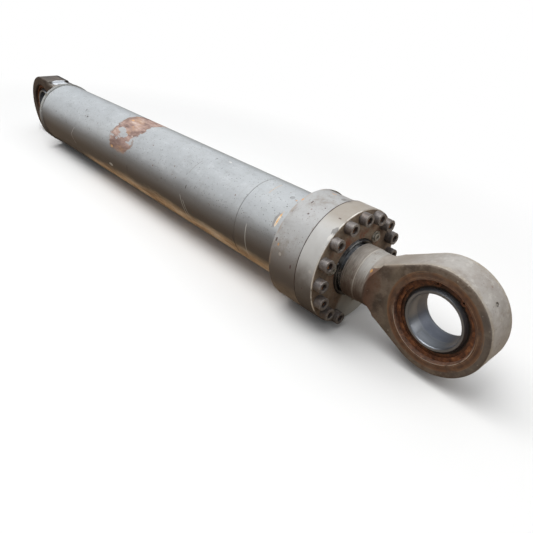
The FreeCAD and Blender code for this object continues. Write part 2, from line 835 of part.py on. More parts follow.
def nut_lock_screw():
    """Socket set screw that locks the nut."""
    mid = piston_start - nut_length / 3
    screw = Part.makeCylinder(lock_screw_r, lock_screw_length,
                              Vector(mid, 0, tail_r + 2 * seat_gap), Z_AXIS)
    top = tail_r + 2 * seat_gap + lock_screw_length
    socket = hexagon(lock_socket_flats, Vector(mid, 0, top - lock_socket_depth), Z_AXIS,
                     2 * lock_socket_depth)
    return around_x(screw.cut(socket), lock_screw_deg)


def cushion_sleeve():
    """Sleeve on the rod that slows the piston as it enters the gland's mouth."""
    inside = rod_r + seat_gap
    end = piston_end + sleeve_length
    return turned([
        (piston_end, inside), (piston_end, sleeve_r), (end - sleeve_lead_length, sleeve_r),
        (end, sleeve_r - sleeve_lead), (end, inside),
    ])


PARTS = {
    "barrel_tube": barrel_tube,
    "barrel_collar": barrel_collar,
    "base_eye_cap": base_end,
    "base_bearing_outer_ring": bearing_outer_ring,
    "base_bearing_inner_ring": bearing_inner_ring,
    "base_circlips": circlip_pair,
    "base_grease_nipple": lambda: grease_nipple(180 - nipple_angle),
    "base_bleed_plug": bleed_plug,
    "gland": gland,
    "gland_screws": gland_screws,
    "gland_plug_screws": gland_plug_screws,
    "rod_wiper": rod_wiper,
    "rod_seal": lambda: groove_ring("seal", seal_depth, seal_bevel),
    "rod_buffer_seal": lambda: groove_ring("buffer", seal_depth, seal_bevel),
    "rod_guide_rings": rod_guide_rings,
    "gland_o_ring": gland_o_ring,
    "gland_backup_ring": gland_backup_ring,
    "piston_rod": piston_rod,
    "rod_eye": rod_eye,
    "rod_bearing_outer_ring": lambda: moved(turned_end_for_end(bearing_outer_ring()), rod_pin_x),
    "rod_bearing_inner_ring": lambda: moved(bearing_inner_ring(), rod_pin_x),
    "rod_circlips": lambda: moved(circlip_pair(), rod_pin_x),
    "rod_grease_nipple": lambda: moved(grease_nipple(nipple_angle), rod_pin_x),
    "piston": piston,
    "piston_seal": piston_seal,
    "piston_seal_energiser": piston_seal_energiser,
    "piston_wear_rings": piston_wear_rings,
    "piston_o_ring": piston_o_ring,
    "piston_nut": piston_nut,
    "nut_lock_screw": nut_lock_screw,
    "cushion_sleeve": cushion_sleeve,
}

for name, make in PARTS.items():
    shape = make()
    shape.exportStep(os.path.join("parts", name + ".step"))
    box = shape.BoundBox
    print(name, len(shape.Solids), shape.isValid(), round(shape.Volume / 1000, 1),
          round(box.XMin, 1), round(box.XMax, 1), round(box.ZMin, 1), round(box.ZMax, 1))
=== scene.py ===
import json
import math
import random

import bmesh
import bpy
from mathutils import Matrix, Vector


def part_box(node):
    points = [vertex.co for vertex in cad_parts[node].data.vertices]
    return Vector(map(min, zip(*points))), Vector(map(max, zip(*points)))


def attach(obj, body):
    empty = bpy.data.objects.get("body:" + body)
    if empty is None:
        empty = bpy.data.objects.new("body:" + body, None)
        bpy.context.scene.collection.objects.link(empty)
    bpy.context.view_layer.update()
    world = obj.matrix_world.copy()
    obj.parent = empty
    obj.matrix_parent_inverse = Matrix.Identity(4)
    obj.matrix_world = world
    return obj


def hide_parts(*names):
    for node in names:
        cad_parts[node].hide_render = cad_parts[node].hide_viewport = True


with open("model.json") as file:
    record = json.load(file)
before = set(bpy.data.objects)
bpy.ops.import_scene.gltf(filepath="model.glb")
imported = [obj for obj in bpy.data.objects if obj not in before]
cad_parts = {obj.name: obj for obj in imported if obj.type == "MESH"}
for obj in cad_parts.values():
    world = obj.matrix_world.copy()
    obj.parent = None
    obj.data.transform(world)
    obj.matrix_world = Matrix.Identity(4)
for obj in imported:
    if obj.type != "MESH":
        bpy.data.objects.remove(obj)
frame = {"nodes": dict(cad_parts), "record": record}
scene = bpy.context.scene
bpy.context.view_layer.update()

# Sizes of the cylinder, in metres, where the frame doesn't give them directly
MM = 0.001
gland_lo, gland_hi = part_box("gland")
rod_lo, rod_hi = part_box("piston_rod")
eye_lo, eye_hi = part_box("rod_eye")
wiper_lo, wiper_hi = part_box("rod_wiper")

mounts = {mount["name"]: mount for mount in frame["record"]["mounts"]}
ROD_PIN = mounts["rod_pin_bore"]["pos_m"][0]
PIN_R = mounts["rod_pin_bore"]["dims"]["r_mm"] * MM
FACE = gland_hi[0]
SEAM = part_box("barrel_collar")[1][0]
TUBE_START, TUBE_END = [corner[0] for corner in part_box("barrel_tube")]
COLLAR_BACK = SEAM - 102 * MM
EYE_R = eye_hi[0] - ROD_PIN
HALF_WIDTH = 51.2 * MM
RIM_BACK = 185 * MM
COLLAR_R = 170 * MM
BARREL_R = 136.5 * MM
BORE_R = 115 * MM
ROD_R = 70 * MM
BEARING_R = 105 * MM


def srgb(red, green, blue):
    """Linear colour from 0-255 values."""
    def linear(value):
        part = value / 255
        return part / 12.92 if part <= 0.04045 else ((part + 0.055) / 1.055) ** 2.4
    return (linear(red), linear(green), linear(blue), 1.0)


def plug(tree, socket, value):
    """Links a value to a socket, or sets it there."""
    if isinstance(value, Num):
        value = value.socket
    if isinstance(value, bpy.types.NodeSocket):
        tree.links.new(value, socket)
    else:
        socket.default_value = value


def empty_tree(owner):
    """Node tree of a material or world, with no nodes left in it."""
    owner.use_nodes = True
    owner.node_tree.nodes.clear()
    return owner.node_tree


def add_node(tree, kind, inputs=(), **settings):
    """Adds a node: its settings first, then values or links for its sockets."""
    node = tree.nodes.new("ShaderNode" + kind)
    for key, value in settings.items():
        if key == "stops":
            set_stops(node, value)
        else:
            setattr(node, key, value)
    for key, value in inputs.items() if isinstance(inputs, dict) else enumerate(inputs):
        plug(tree, node.inputs[key], value)
    return node


def set_stops(node, stops):
    """Colour stops of a ramp, as (place, colour) pairs."""
    elements = node.color_ramp.elements
    while len(elements) < len(stops):
        elements.new(0.5)
    for element, (place, colour) in zip(elements, stops):
        element.position = place
        element.color = colour


class Num:
    """A number that varies over a surface; arithmetic on it adds Math nodes."""

    def __init__(self, finish, socket):
        self.finish = finish
        self.socket = socket

    def math(self, operation, *others, clamp=False):
        return self.finish.number("Math", [self, *others], operation=operation, use_clamp=clamp)

    def __add__(self, other):
        return self.math("ADD", other)

    __radd__ = __add__

    def __mul__(self, other):
        return self.math("MULTIPLY", other)

    __rmul__ = __mul__

    def __sub__(self, other):
        return self.math("SUBTRACT", other)

    def __rsub__(self, other):
        return (self * -1) + other

    def __truediv__(self, other):
        return self.math("DIVIDE", other)

    def size(self):
        return self.math("ABSOLUTE")

    def at_most(self, other):
        return self.math("MINIMUM", other)

    def clamped(self):
        return self.math("ADD", 0.0, clamp=True)

    def rise(self, low, high):
        """0 below low, 1 above high, smooth between them; falls where high is the lower."""
        falls = low > high
        return self.finish.number("MapRange", {
            "Value": self, "From Min": min(low, high), "From Max": max(low, high),
            "To Min": float(falls), "To Max": float(not falls)}, interpolation_type="SMOOTHSTEP")

    def between(self, low, high, soft):
        """1 between low and high, fading over the soft distance outside them."""
        return self.rise(low - soft, low) * self.rise(high + soft, high)

    def facing(self, low, high, soft):
        """The same for an angle, with its limits in degrees."""
        return self.between(math.radians(low), math.radians(high), math.radians(soft))


class Finish:
    """One procedural material. Places are read from the object's own coordinates."""

    def __init__(self, name):
        self.material = bpy.data.materials.new(name)
        self.tree = empty_tree(self.material)
        self.shader = self.node("BsdfPrincipled")
        self.node("OutputMaterial", [self.shader.outputs[0]])
        self.place = self.node("TexCoord").outputs["Object"]
        parts = self.node("SeparateXYZ", [self.place])
        self.x, self.y, self.z = [Num(self, parts.outputs[i]) for i in range(3)]
        self.grains = {}
        self.angle, self.radius = self.round_x()

    def node(self, kind, inputs=(), **settings):
        """Adds a node to this material."""
        return add_node(self.tree, kind, inputs, **settings)

    def number(self, kind, inputs, **settings):
        """Adds a node and gives its first output as a number."""
        return Num(self, self.node(kind, inputs, **settings).outputs[0])

    def mapped(self, stretch, shift):
        """The object's coordinates, stretched and shifted."""
        return self.node("Mapping", {
            "Vector": self.place, "Location": shift, "Scale": stretch}).outputs[0]

    def noise(self, scale, detail=4.0, roughness=0.55, stretch=(1, 1, 1), shift=(0, 0, 0)):
        """Noise from 0 to 1, finer with scale, in cells per metre."""
        return self.number("TexNoise", {
            "Vector": self.mapped(stretch, shift), "Scale": scale, "Detail": detail,
            "Roughness": roughness})

    def spots(self, scale, radius, share, stretch=(1, 1, 1), shift=(0, 0, 0)):
        """Scattered round spots: their radius in cells and the share of cells that have one."""
        node = self.node("TexVoronoi", {
            "Vector": self.mapped(stretch, shift), "Scale": scale})
        own = self.number("SeparateXYZ", [node.outputs["Color"]])
        distance = Num(self, node.outputs["Distance"])
        return distance.rise(radius, radius * 0.6) * own.rise(1 - share, 1 - share + 0.02)

    def colour(self, value, stops):
        """Colour from a ramp, its stops given as (place, red, green, blue)."""
        stops = [(place, srgb(*tint)) for place, *tint in stops]
        return self.node("ValToRGB", [value], stops=stops).outputs[0]

    def mix(self, factor, first, second):
        """Colour that goes from the first to the second as the factor rises."""
        return self.node("Mix", {0: factor, 6: first, 7: second}, data_type="RGBA").outputs[2]

    def layered(self, colour, layers):
        """Colour under further ones, given as (place, strength, red, green, blue)."""
        for place, strength, *tint in layers:
            colour = self.mix(place * strength, colour, srgb(*tint))
        return colour

    def marks(self, colour, radius, ragged, grain, strength, tint, places):
        """Colour under patches, given as (distance behind the face, angle, length, width)."""
        for back, degrees, length, width in places:
            mark = self.patch(FACE - back, degrees, length, width, radius, ragged, grain)
            colour = self.mix(mark * strength, colour, srgb(*tint))
        return colour

    def blend(self, factor, first, second):
        """Number that goes from the first to the second as the factor rises."""
        return factor * (second - first) + first

    def round_x(self):
        """Angle round the cylinder's axis from +Y, 0 to 2 pi, and the distance from it."""
        radius = (self.z * self.z + self.y * self.y).math("SQRT")
        return (self.z * -1).math("ARCTAN2", self.y * -1) + math.pi, radius

    def from_pin(self, pin_x):
        """Distance from a pin's axis."""
        across = self.x - pin_x
        return (across * across + self.z * self.z).math("SQRT")

    def patch(self, x, degrees, length, width, radius, ragged, grain):
        """Ragged mark on the barrel at a station and angle, sized along and around it."""
        if grain not in self.grains:
            self.grains[grain] = self.noise(grain, 5.0, 0.65) - 0.5
        along = (self.x - x) / (length / 2)
        across = (self.angle - math.radians(degrees)) * (radius / (width / 2))
        reach = (along * along + across * across).math("SQRT")
        return (reach + self.grains[grain] * (2 * ragged)).rise(1.08, 0.88)

    def line(self, start, end, width):
        """Thin mark on the barrel between two places, each a station and an angle in degrees."""
        low, high = math.radians(start[1]), math.radians(end[1])
        share = (self.angle - low) / (high - low)
        away = (self.x - share * (end[0] - start[0]) - start[0]).size()
        return away.rise(width, width * 0.4) * share.between(0.1, 0.9, 0.1)

    def done(self, colour, roughness, metallic, height, strength, distance, more=None):
        """Feeds the shader, with bumps from a height; more holds further inputs by name."""
        bump = self.node("Bump", {
            "Strength": strength, "Distance": distance, "Height": height})
        values = {"Base Color": colour, "Roughness": roughness, "Metallic": metallic,
                  "Normal": bump.outputs[0], **(more or {})}
        for key, value in values.items():
            plug(self.tree, self.shader.inputs[key], value)
        return self.material


# Finishes


def barrel_paint():
    """Grey satin paint: speckled, scratched and rusty where a clamp sat, with painted shade and a
    painted tan ground reflection beneath.
    """
    f = Finish("barrel_paint")
    wide = f.noise(3.0, 4.0, 0.6, (0.6, 1, 1))
    streak = f.noise(9.0, 5.0, 0.65, (0.25, 1, 1), (3, 1, 2))
    fine = f.noise(420.0, 3.0, 0.6)
    colour = f.colour(wide * 0.6 + streak * 0.4, [
        (0.32, 152, 155, 157), (0.52, 168, 171, 173), (0.7, 179, 182, 183)])
    hoops = f.noise(30.0, 4.0, 0.6, (3.0, 0.35, 0.35), (6, 1, 2)).rise(0.52, 0.72)
    mottle = f.noise(34.0, 5.0, 0.7, (0.45, 1, 1), (4, 6, 3))
    speck = f.spots(150.0, 0.32, 0.24) + f.spots(260.0, 0.3, 0.3, shift=(1, 2, 3)) * 0.7
    ticks = f.spots(90.0, 0.26, 0.05, stretch=(1.6, 0.5, 0.5), shift=(3, 3, 1))
    level = f.z + (f.noise(5.0, 4.0, 0.55, (0.35, 1, 1), (7, 1, 1)) - 0.5) * 0.04
    # painted reflection: a tan glow of the ground low on the barrel, away from the base end
    tan = (level + (streak - 0.5) * 0.09).rise(-0.03, -0.07) * f.x.rise(FACE - 1.5, FACE - 1.3)
    ground_reflection_colour = f.colour(f.noise(26.0, 5.0, 0.65, (0.3, 1, 1), (2, 6, 2)), [
        (0.35, 176, 142, 104), (0.52, 236, 206, 166), (0.66, 250, 232, 204)])
    colour = f.layered(colour, [
        # painted light: the paint lighter and bluer towards the base end
        (f.x.rise(1.0, 0.2), 0.35, 186, 191, 194),
        (hoops, 0.22, 146, 146, 142),
        (mottle.rise(0.53, 0.68), 0.25, 206, 210, 212),
        (mottle.rise(0.46, 0.33), 0.25, 120, 120, 118),
        (speck.clamped(), 0.75, 104, 104, 102),
        (ticks, 0.75, 82, 80, 78),
        (fine.rise(0.6, 0.75), 0.25, 198, 201, 202),
        (streak.rise(0.58, 0.76), 0.3, 140, 139, 134),
        # painted shade: darker down the lower side, and dark brown underneath together with grime
        (level.rise(0.082, 0.025), 0.8, 97, 94, 91),
        (level.rise(0.045, -0.02), 0.85, 74, 63, 53)])
    colour = f.mix(tan * 0.92, colour, ground_reflection_colour)
    # painted shade: the barrel darker on its far side, towards +Y
    far_side_shade = (f.y + (wide - 0.5) * 0.03).rise(0.0, 0.085)
    spots = f.spots(34.0, 0.13, 0.1, shift=(4, 0, 1)) + f.spots(70.0, 0.16, 0.06, shift=(0, 7, 1))
    spots = (spots * f.noise(200.0, 2.0).rise(0.3, 0.5)).clamped()
    colour = f.layered(colour, [
        (far_side_shade, 0.75, 96, 93, 88),
        (spots, 0.85, 106, 72, 50)])
    colour = tube_marks(f, colour)
    band, colour = clamp_band(f, colour)
    groove = (f.x - TUBE_END).size().rise(0.0022, 0.001)
    collar = f.x.rise(COLLAR_BACK - 0.004, COLLAR_BACK + 0.004)
    grime = f.noise(21.0, 6.0, 0.68, shift=(1, 5, 2)).rise(0.46, 0.66)
    colour = f.layered(colour, [
        (groove, 0.4, 104, 100, 94),
        (collar, 0.4, 162, 156, 150),
        (collar * grime, 0.55, 126, 114, 101),
        # painted shade: the collar darker underneath
        (collar * level.rise(0.065, -0.03), 0.72, 74, 65, 59)])
    colour = collar_marks(f, colour)
    roughness = f.blend(band, 0.47 + (fine - 0.5) * 0.12, 0.85)
    height = fine * 0.18 + band * f.noise(160.0, 5.0, 0.7) * 1.3 - band * 0.5 + wide * 0.5
    return f.done(colour, roughness, 0.0, height, 0.35, 0.0011, {"Specular IOR Level": 0.4})


def clamp_band(f, colour):
    """Band of bare rusty steel where a pipe clamp sat, with islands of paint left in it."""
    angle = f.angle
    middle = FACE - 1.105
    edge = (f.noise(24.0, 6.0, 0.7, (0.5, 1, 1)) - 0.5) * 0.05
    edge = edge + (f.noise(90.0, 4.0, 0.7, (0.5, 1, 1)) - 0.5) * 0.032
    away = (f.x - middle).size() + edge
    around = (angle + edge * 3).facing(40, 159, 7)
    narrow = angle.rise(math.radians(146), math.radians(166)) * 0.03
    band = (away + narrow).rise(0.086, 0.079) * around
    bare = f.noise(17.0, 5.0, 0.7, (0.4, 1, 1), (2, 2, 9))
    bare = bare + f.noise(75.0, 4.0, 0.7, (0.4, 1, 1)) * 0.45
    band = band * (1 - bare.rise(0.81, 0.86) * 0.8)
    for back, degrees, length, width in (
            (1.135, 128, 0.055, 0.024), (1.108, 134, 0.060, 0.022),
            (1.056, 143, 0.030, 0.007), (1.03, 136, 0.034, 0.045)):
        left = f.patch(FACE - back, degrees, length, width, BARREL_R, 0.9, 34.0)
        band = band * (1 - left * 0.9)
    rust = f.colour(f.noise(40.0, 5.0, 0.62, (0.35, 1, 1), (8, 1, 1)), [
        (0.3, 92, 68, 60), (0.44, 134, 106, 95), (0.56, 166, 138, 126), (0.7, 196, 174, 160)])
    low = angle.rise(math.radians(138), math.radians(160))
    ochre = f.noise(21.0, 4.0, 0.6, (0.5, 1, 1), (3, 3, 6)).rise(0.54, 0.66)
    dark = f.spots(56.0, 0.3, 0.22, stretch=(0.4, 1, 1), shift=(2, 8, 4))
    pale = f.spots(70.0, 0.24, 0.14, stretch=(0.4, 1, 1), shift=(6, 1, 4))
    rust = f.layered(rust, [
        (low, 0.6, 96, 70, 62),
        (ochre, 0.5, 176, 138, 100),
        (dark, 0.5, 88, 64, 60),
        (pale, 0.6, 206, 190, 180)])
    rust = f.marks(rust, BARREL_R, 0.7, 90.0, 0.75, (210, 158, 92), [
        (1.152, 101, 0.0216, 0.0081), (1.152, 160, 0.024, 0.009), (1.10, 114, 0.012, 0.0045)])
    colour = f.mix(band * 0.92, colour, rust)
    line = (away + narrow).between(0.077, 0.086, 0.004) * around
    line = line * f.noise(40.0, 3.0).rise(0.42, 0.56)
    return band, f.mix(line * 0.5, colour, srgb(124, 96, 76))


def tube_marks(f, colour):
    """Chips, ticks and scratches on the tube and the collar's neck."""
    pale = (214, 212, 206)
    colour = f.marks(colour, BARREL_R, 0.5, 160.0, 0.8, (72, 66, 62), [
        (0.605, 99, 0.005, 0.012), (0.632, 159, 0.005, 0.014), (0.778, 166, 0.005, 0.006),
        (0.523, 186, 0.006, 0.009), (1.02, 183, 0.012, 0.03), (1.42, 135, 0.014, 0.007),
        (1.465, 125, 0.006, 0.012), (1.70, 154, 0.008, 0.006), (0.213, 120, 0.004, 0.004)])
    colour = f.marks(colour, BARREL_R, 0.5, 90.0, 0.7, pale, [
        (0.55, 92, 0.014, 0.008), (1.16, 193, 0.03, 0.012)])
    for start, end, width, strength, tint in (
            ((0.658, 172), (0.622, 206), 0.0022, 0.5, pale),
            ((0.64, 178), (0.60, 210), 0.0022, 0.5, pale),
            ((0.312, 160), (0.304, 212), 0.0022, 0.5, pale),
            ((1.489, 163), (1.523, 180), 0.0022, 0.5, pale),
            ((1.523, 179), (1.488, 196), 0.0022, 0.5, pale),
            ((0.371, 186), (0.356, 216), 0.003, 0.7, (58, 52, 48)),
            ((0.635, 112), (0.648, 141), 0.002, 0.5, (118, 112, 104)),
            ((0.308, 89), (0.305, 115), 0.0022, 0.5, (196, 160, 116))):
        scratch = f.line((FACE - start[0], start[1]), (FACE - end[0], end[1]), width)
        colour = f.mix(scratch * strength, colour, srgb(*tint))
    colour = f.marks(colour, BARREL_R, 0.5, 90.0, 0.5, (116, 106, 98), [
        (0.212, 140, 0.020, 0.050)])
    colour = f.marks(colour, BARREL_R, 0.45, 90.0, 0.9, (226, 214, 198), [
        (0.2085, 140.5, 0.010, 0.040)])
    core = f.patch(FACE - 0.2085, 138, 0.006, 0.042, BARREL_R, 0.9, 160.0)
    return f.mix(core * f.noise(220.0, 3.0).rise(0.42, 0.52) * 0.85, colour, srgb(224, 168, 84))


def collar_marks(f, colour):
    """Chipped and stained places on the collar and the flange beside it."""
    colour = f.marks(colour, COLLAR_R, 0.6, 160.0, 0.75, (204, 150, 88), [
        (0.2077, 106, 0.006, 0.007), (0.161, 112, 0.006, 0.010),
        (0.120, 84, 0.016, 0.005), (0.143, 160.5, 0.005, 0.008)])
    colour = f.marks(colour, BARREL_R, 0.5, 90.0, 0.4, (96, 92, 90), [
        (0.228, 104, 0.016, 0.016)])
    colour = f.marks(colour, COLLAR_R, 0.5, 160.0, 0.85, (76, 50, 46), [
        (0.109, 123, 0.007, 0.006), (0.082, 110, 0.004, 0.005), (0.13, 110, 0.004, 0.012),
        (0.155, 157, 0.006, 0.012), (0.083, 174, 0.005, 0.012), (0.022, 113.5, 0.010, 0.004),
        (0.035, 188, 0.004, 0.004)])
    colour = f.marks(colour, COLLAR_R, 1.0, 110.0, 0.5, (184, 178, 170), [
        (0.128, 168, 0.010, 0.009), (0.016, 168.5, 0.010, 0.009)])
    soot = f.patch(FACE - 0.070, 86, 0.045, 0.020, COLLAR_R, 0.6, 30.0)
    soot = soot * f.noise(40.0, 3.0, 0.6, (0.3, 1, 1)).rise(0.36, 0.62)
    back = (f.x - COLLAR_BACK - 0.003).size().rise(0.006, 0.002)
    back = back * f.noise(30.0, 4.0, 0.6).rise(0.45, 0.7)
    stain = (f.x - SEAM).size().rise(0.004, 0.001) * f.noise(40.0, 4.0, 0.6).rise(0.4, 0.62)
    return f.layered(colour, [
        (soot, 0.8, 66, 62, 60),
        (back, 0.4, 158, 132, 108),
        (stain, 0.4, 110, 86, 68),
        ((f.x - SEAM - 0.0002).size().rise(0.0015, 0.0008), 0.92, 44, 34, 30)])


def flange_paint():
    """Warm grey paint of the gland: rusty brown on the face, bare on the bevel with a painted
    highlight there, and painted light and shade round the rim.
    """
    f = Finish("gland_paint")
    angle, radius = f.angle, f.radius
    wide = f.noise(9.0, 5.0, 0.62)
    fine = f.noise(380.0, 3.0, 0.6)
    rim = f.colour(wide, [(0.35, 150, 147, 143), (0.6, 171, 169, 166), (0.75, 186, 185, 183)])
    tan = f.noise(24.0, 6.0, 0.7, (0.6, 1, 1), (1, 2, 7)).rise(0.48, 0.7)
    top = angle.facing(60, 118, 14)
    # painted highlight: a lighter band round the upper near side of the rim
    side = angle.facing(124, 158, 14)
    below = f.z + (wide - 0.5) * 0.08
    black = f.patch(FACE - 0.007, 127, 0.014, 0.026, COLLAR_R, 1.1, 120.0)
    scuff = f.patch(FACE - 0.006, 134, 0.010, 0.024, COLLAR_R, 1.1, 120.0)
    rim = f.layered(rim, [
        (tan, 0.4, 132, 119, 104),
        (top, 0.6, 150, 138, 122),
        (side, 0.4, 206, 206, 203),
        # painted shade: the rim darker towards the bottom
        (below.rise(0.055, -0.02), 0.8, 76, 67, 59),
        (below.rise(0.0, -0.1), 0.85, 58, 48, 41),
        (black, 0.6, 66, 61, 58),
        (scuff, 0.6, 212, 208, 201)])
    rim = collar_marks(f, rim)
    face = f.x.rise(FACE - 0.0012, FACE - 0.0004)
    crust = f.noise(30.0, 6.0, 0.72, shift=(4, 4, 1))
    plate = f.colour(crust, [
        (0.3, 92, 80, 68), (0.48, 124, 108, 92), (0.6, 142, 127, 109), (0.74, 122, 92, 70)])
    upper = (angle + (wide - 0.5) * 0.7).between(math.radians(70), math.radians(150), 0.2)
    rust = f.noise(19.0, 6.0, 0.7, shift=(9, 2, 2)).rise(0.44, 0.6) * radius.rise(0.15, 0.105)
    plate = f.mix(rust * (upper * 0.55 + 0.35), plate, srgb(122, 72, 48))
    clean = (angle + (wide - 0.5) * 0.5).between(math.radians(248), math.radians(306), 0.16)
    streak = f.noise(52.0, 5.0, 0.65, (1, 0.4, 1.4), (2, 1, 6)).rise(0.6, 0.75)
    speck = f.spots(120.0, 0.25, 0.12)
    plate = f.layered(plate, [
        (clean, 0.85, 172, 172, 166),
        (streak, 0.45, 160, 150, 135),
        (speck, 0.6, 60, 48, 40)])
    colour = f.mix(face, rim, plate)
    # the bevel worn bare, with a painted highlight along it on the upper near side
    bevel = f.x.rise(FACE - 0.0034, FACE - 0.0028) * (1 - face)
    worn = bevel * angle.between(math.radians(100), math.radians(205), 0.3)
    worn = worn * f.noise(34.0, 4.0, 0.6).rise(0.36, 0.5)
    roughness = 0.5 + face * 0.16 + (fine - 0.5) * 0.1 - worn * 0.2
    height = fine * 0.2 + face * crust * 0.9 + wide * 0.3
    colour = f.mix(worn * 0.95, colour, srgb(232, 228, 219))
    return f.done(colour, roughness, worn * 0.4, height, 0.4, 0.0012, {"Specular IOR Level": 0.4})


def forging_paint(name, pin_x, side):
    """Painted forging of an eye: light worn rim, greasy brown cheeks with a rusty wear ring.
    Side is 1 where the neck lies towards -X of the pin, and -1 where it lies towards +X."""
    f = Finish(name)
    radius = f.from_pin(pin_x)
    neck_way = (pin_x - f.x) * side
    wide = f.noise(8.0, 5.0, 0.6)
    fine = f.noise(330.0, 4.0, 0.62)
    rim = f.colour(wide, [(0.33, 152, 146, 139), (0.5, 171, 166, 160), (0.68, 184, 181, 176)])
    worn = f.noise(26.0, 6.0, 0.72, (1, 0.8, 1), (3, 3, 3)).rise(0.5, 0.7)
    stain = f.noise(13.0, 5.0, 0.65, (1, 0.7, 1), (6, 3, 1)).rise(0.5, 0.66)
    mottle = f.noise(62.0, 5.0, 0.7, (1, 0.8, 1), (5, 5, 9))
    near_neck = (neck_way + (f.noise(30.0) - 0.5) * 0.05).rise(0.05, 0.13)
    edge = (f.y.size() + (f.noise(40.0, 5.0, 0.7) - 0.5) * 0.03).rise(0.034, 0.047)
    chipped = f.noise(150.0, 5.0, 0.7, shift=(4, 4, 4)).rise(0.54, 0.62) * edge
    # painted shade: the rim darker towards the bottom
    below = (f.z + (wide - 0.5) * 0.05).rise(-0.03, -0.12)
    cheek = f.y.size() + (f.noise(70.0, 5.0, 0.7, shift=(1, 6, 1)) - 0.5) * 0.003
    cheek = cheek.rise(HALF_WIDTH - 0.0042, HALF_WIDTH - 0.0022)
    soil = f.noise(22.0, 6.0, 0.68, shift=(6, 1, 2))
    flat = f.colour(soil, [
        (0.32, 64, 54, 47), (0.45, 90, 77, 66), (0.55, 114, 101, 88), (0.7, 96, 74, 58)])
    grey = (neck_way + (soil - 0.5) * 0.1).rise(-0.06, -0.13)
    rim = f.layered(rim, [
        (worn, 0.5, 148, 137, 123),
        (f.spots(46.0, 0.2, 0.08, shift=(1, 1, 4)), 0.75, 122, 84, 66),
        (stain, 0.4, 134, 121, 107),
        # painted shade: the top of the rim darker
        (f.z.rise(0.07, 0.135), 0.3, 140, 133, 126),
        (mottle.rise(0.52, 0.66), 0.3, 204, 200, 193),
        (mottle.rise(0.46, 0.34), 0.3, 122, 113, 103),
        (f.spots(120.0, 0.3, 0.16, shift=(2, 2, 4)), 0.4, 120, 110, 100),
        (near_neck, 0.65, 140, 130, 119),
        (edge, 0.55, 152, 139, 120),
        (chipped, 0.5, 206, 198, 184),
        (below, 0.5, 112, 100, 88)])
    wipe = f.noise(34.0, 5.0, 0.65, (0.5, 1, 1.4), (7, 2, 2)).rise(0.56, 0.74)
    worn_way = (neck_way - 0.115 + (soil - 0.5) * 0.06).size().rise(0.022, 0.006)
    chips = f.spots(80.0, 0.22, 0.16, shift=(2, 5, 1)) * f.noise(180.0).rise(0.4, 0.55)
    red = (neck_way + (soil - 0.5) * 0.08).rise(0.15, 0.19)
    flat = f.layered(flat, [
        (grey, 0.6, 98, 91, 85),
        (wipe, 0.5, 132, 122, 109),
        (worn_way, 0.3, 128, 116, 98),
        (chips, 0.65, 164, 154, 140),
        (red, 0.65, 104, 68, 50)])
    flat = wear_ring(f, radius, flat)
    colour = f.mix(cheek, rim, flat)
    inside = radius.rise(0.1095, 0.1072) * f.y.size().rise(0.034, 0.036)
    well = f.colour(f.noise(60.0, 6.0, 0.7, shift=(5, 5, 2)), [
        (0.35, 68, 50, 41), (0.52, 100, 72, 57), (0.68, 132, 96, 74), (0.82, 176, 142, 116)])
    colour = f.mix(inside, colour, well)
    colour = neck_marks(f, colour) if side > 0 else cap_marks(f, colour)
    rough = 0.5 + cheek * 0.1 + inside * 0.15 + (fine - 0.5) * 0.12
    height = fine * 0.25 + soil * 0.6 * cheek + wide * 0.4 + f.noise(70.0, 5.0, 0.65) * 0.5
    height = height + inside * f.noise(190.0, 4.0, 0.7) * 1.2
    return f.done(colour, rough, 0.0, height, 0.45, 0.0014, {"Specular IOR Level": 0.42})


def wear_ring(f, radius, flat):
    """Rusty rings that a thrust washer has rubbed round the bore, and a painted highlight along the
    lower part of its mouth.
    """
    reach = radius + (f.noise(12.0, 3.0, 0.5) - 0.5) * 0.004
    rust = f.colour(f.noise(38.0, 6.0, 0.7, shift=(3, 9, 2)), [
        (0.32, 66, 45, 35), (0.5, 96, 66, 47), (0.66, 122, 86, 58), (0.78, 150, 112, 78)])
    thin = f.noise(11.0, 4.0, 0.6, shift=(8, 2, 5)).rise(0.36, 0.56) * 0.35 + 0.58
    flat = f.mix(reach.between(0.1, 0.1215, 0.004) * thin, flat, rust)
    outer = reach.between(0.1215, 0.1262, 0.0008) * f.noise(16.0, 4.0, 0.6).rise(0.36, 0.52)
    flat = f.mix(outer * 0.65, flat, srgb(120, 84, 58))
    for at, strength, tint in ((0.1268, 0.5, (150, 116, 84)), (0.1178, 0.4, (62, 44, 36)),
                               (0.1125, 0.45, (150, 122, 100))):
        line = (reach - at).size().rise(0.0011, 0.0004) * f.noise(24.0).rise(0.4, 0.56)
        flat = f.mix(line * strength, flat, srgb(*tint))
    # painted highlight: a bright line along the bore's mouth on its lower side
    mouth = (radius - 0.1081).size().rise(0.0019, 0.0008) * f.z.rise(0.02, -0.04)
    return f.mix(mouth * f.noise(30.0).rise(0.34, 0.5) * 0.9, flat, srgb(228, 210, 192))


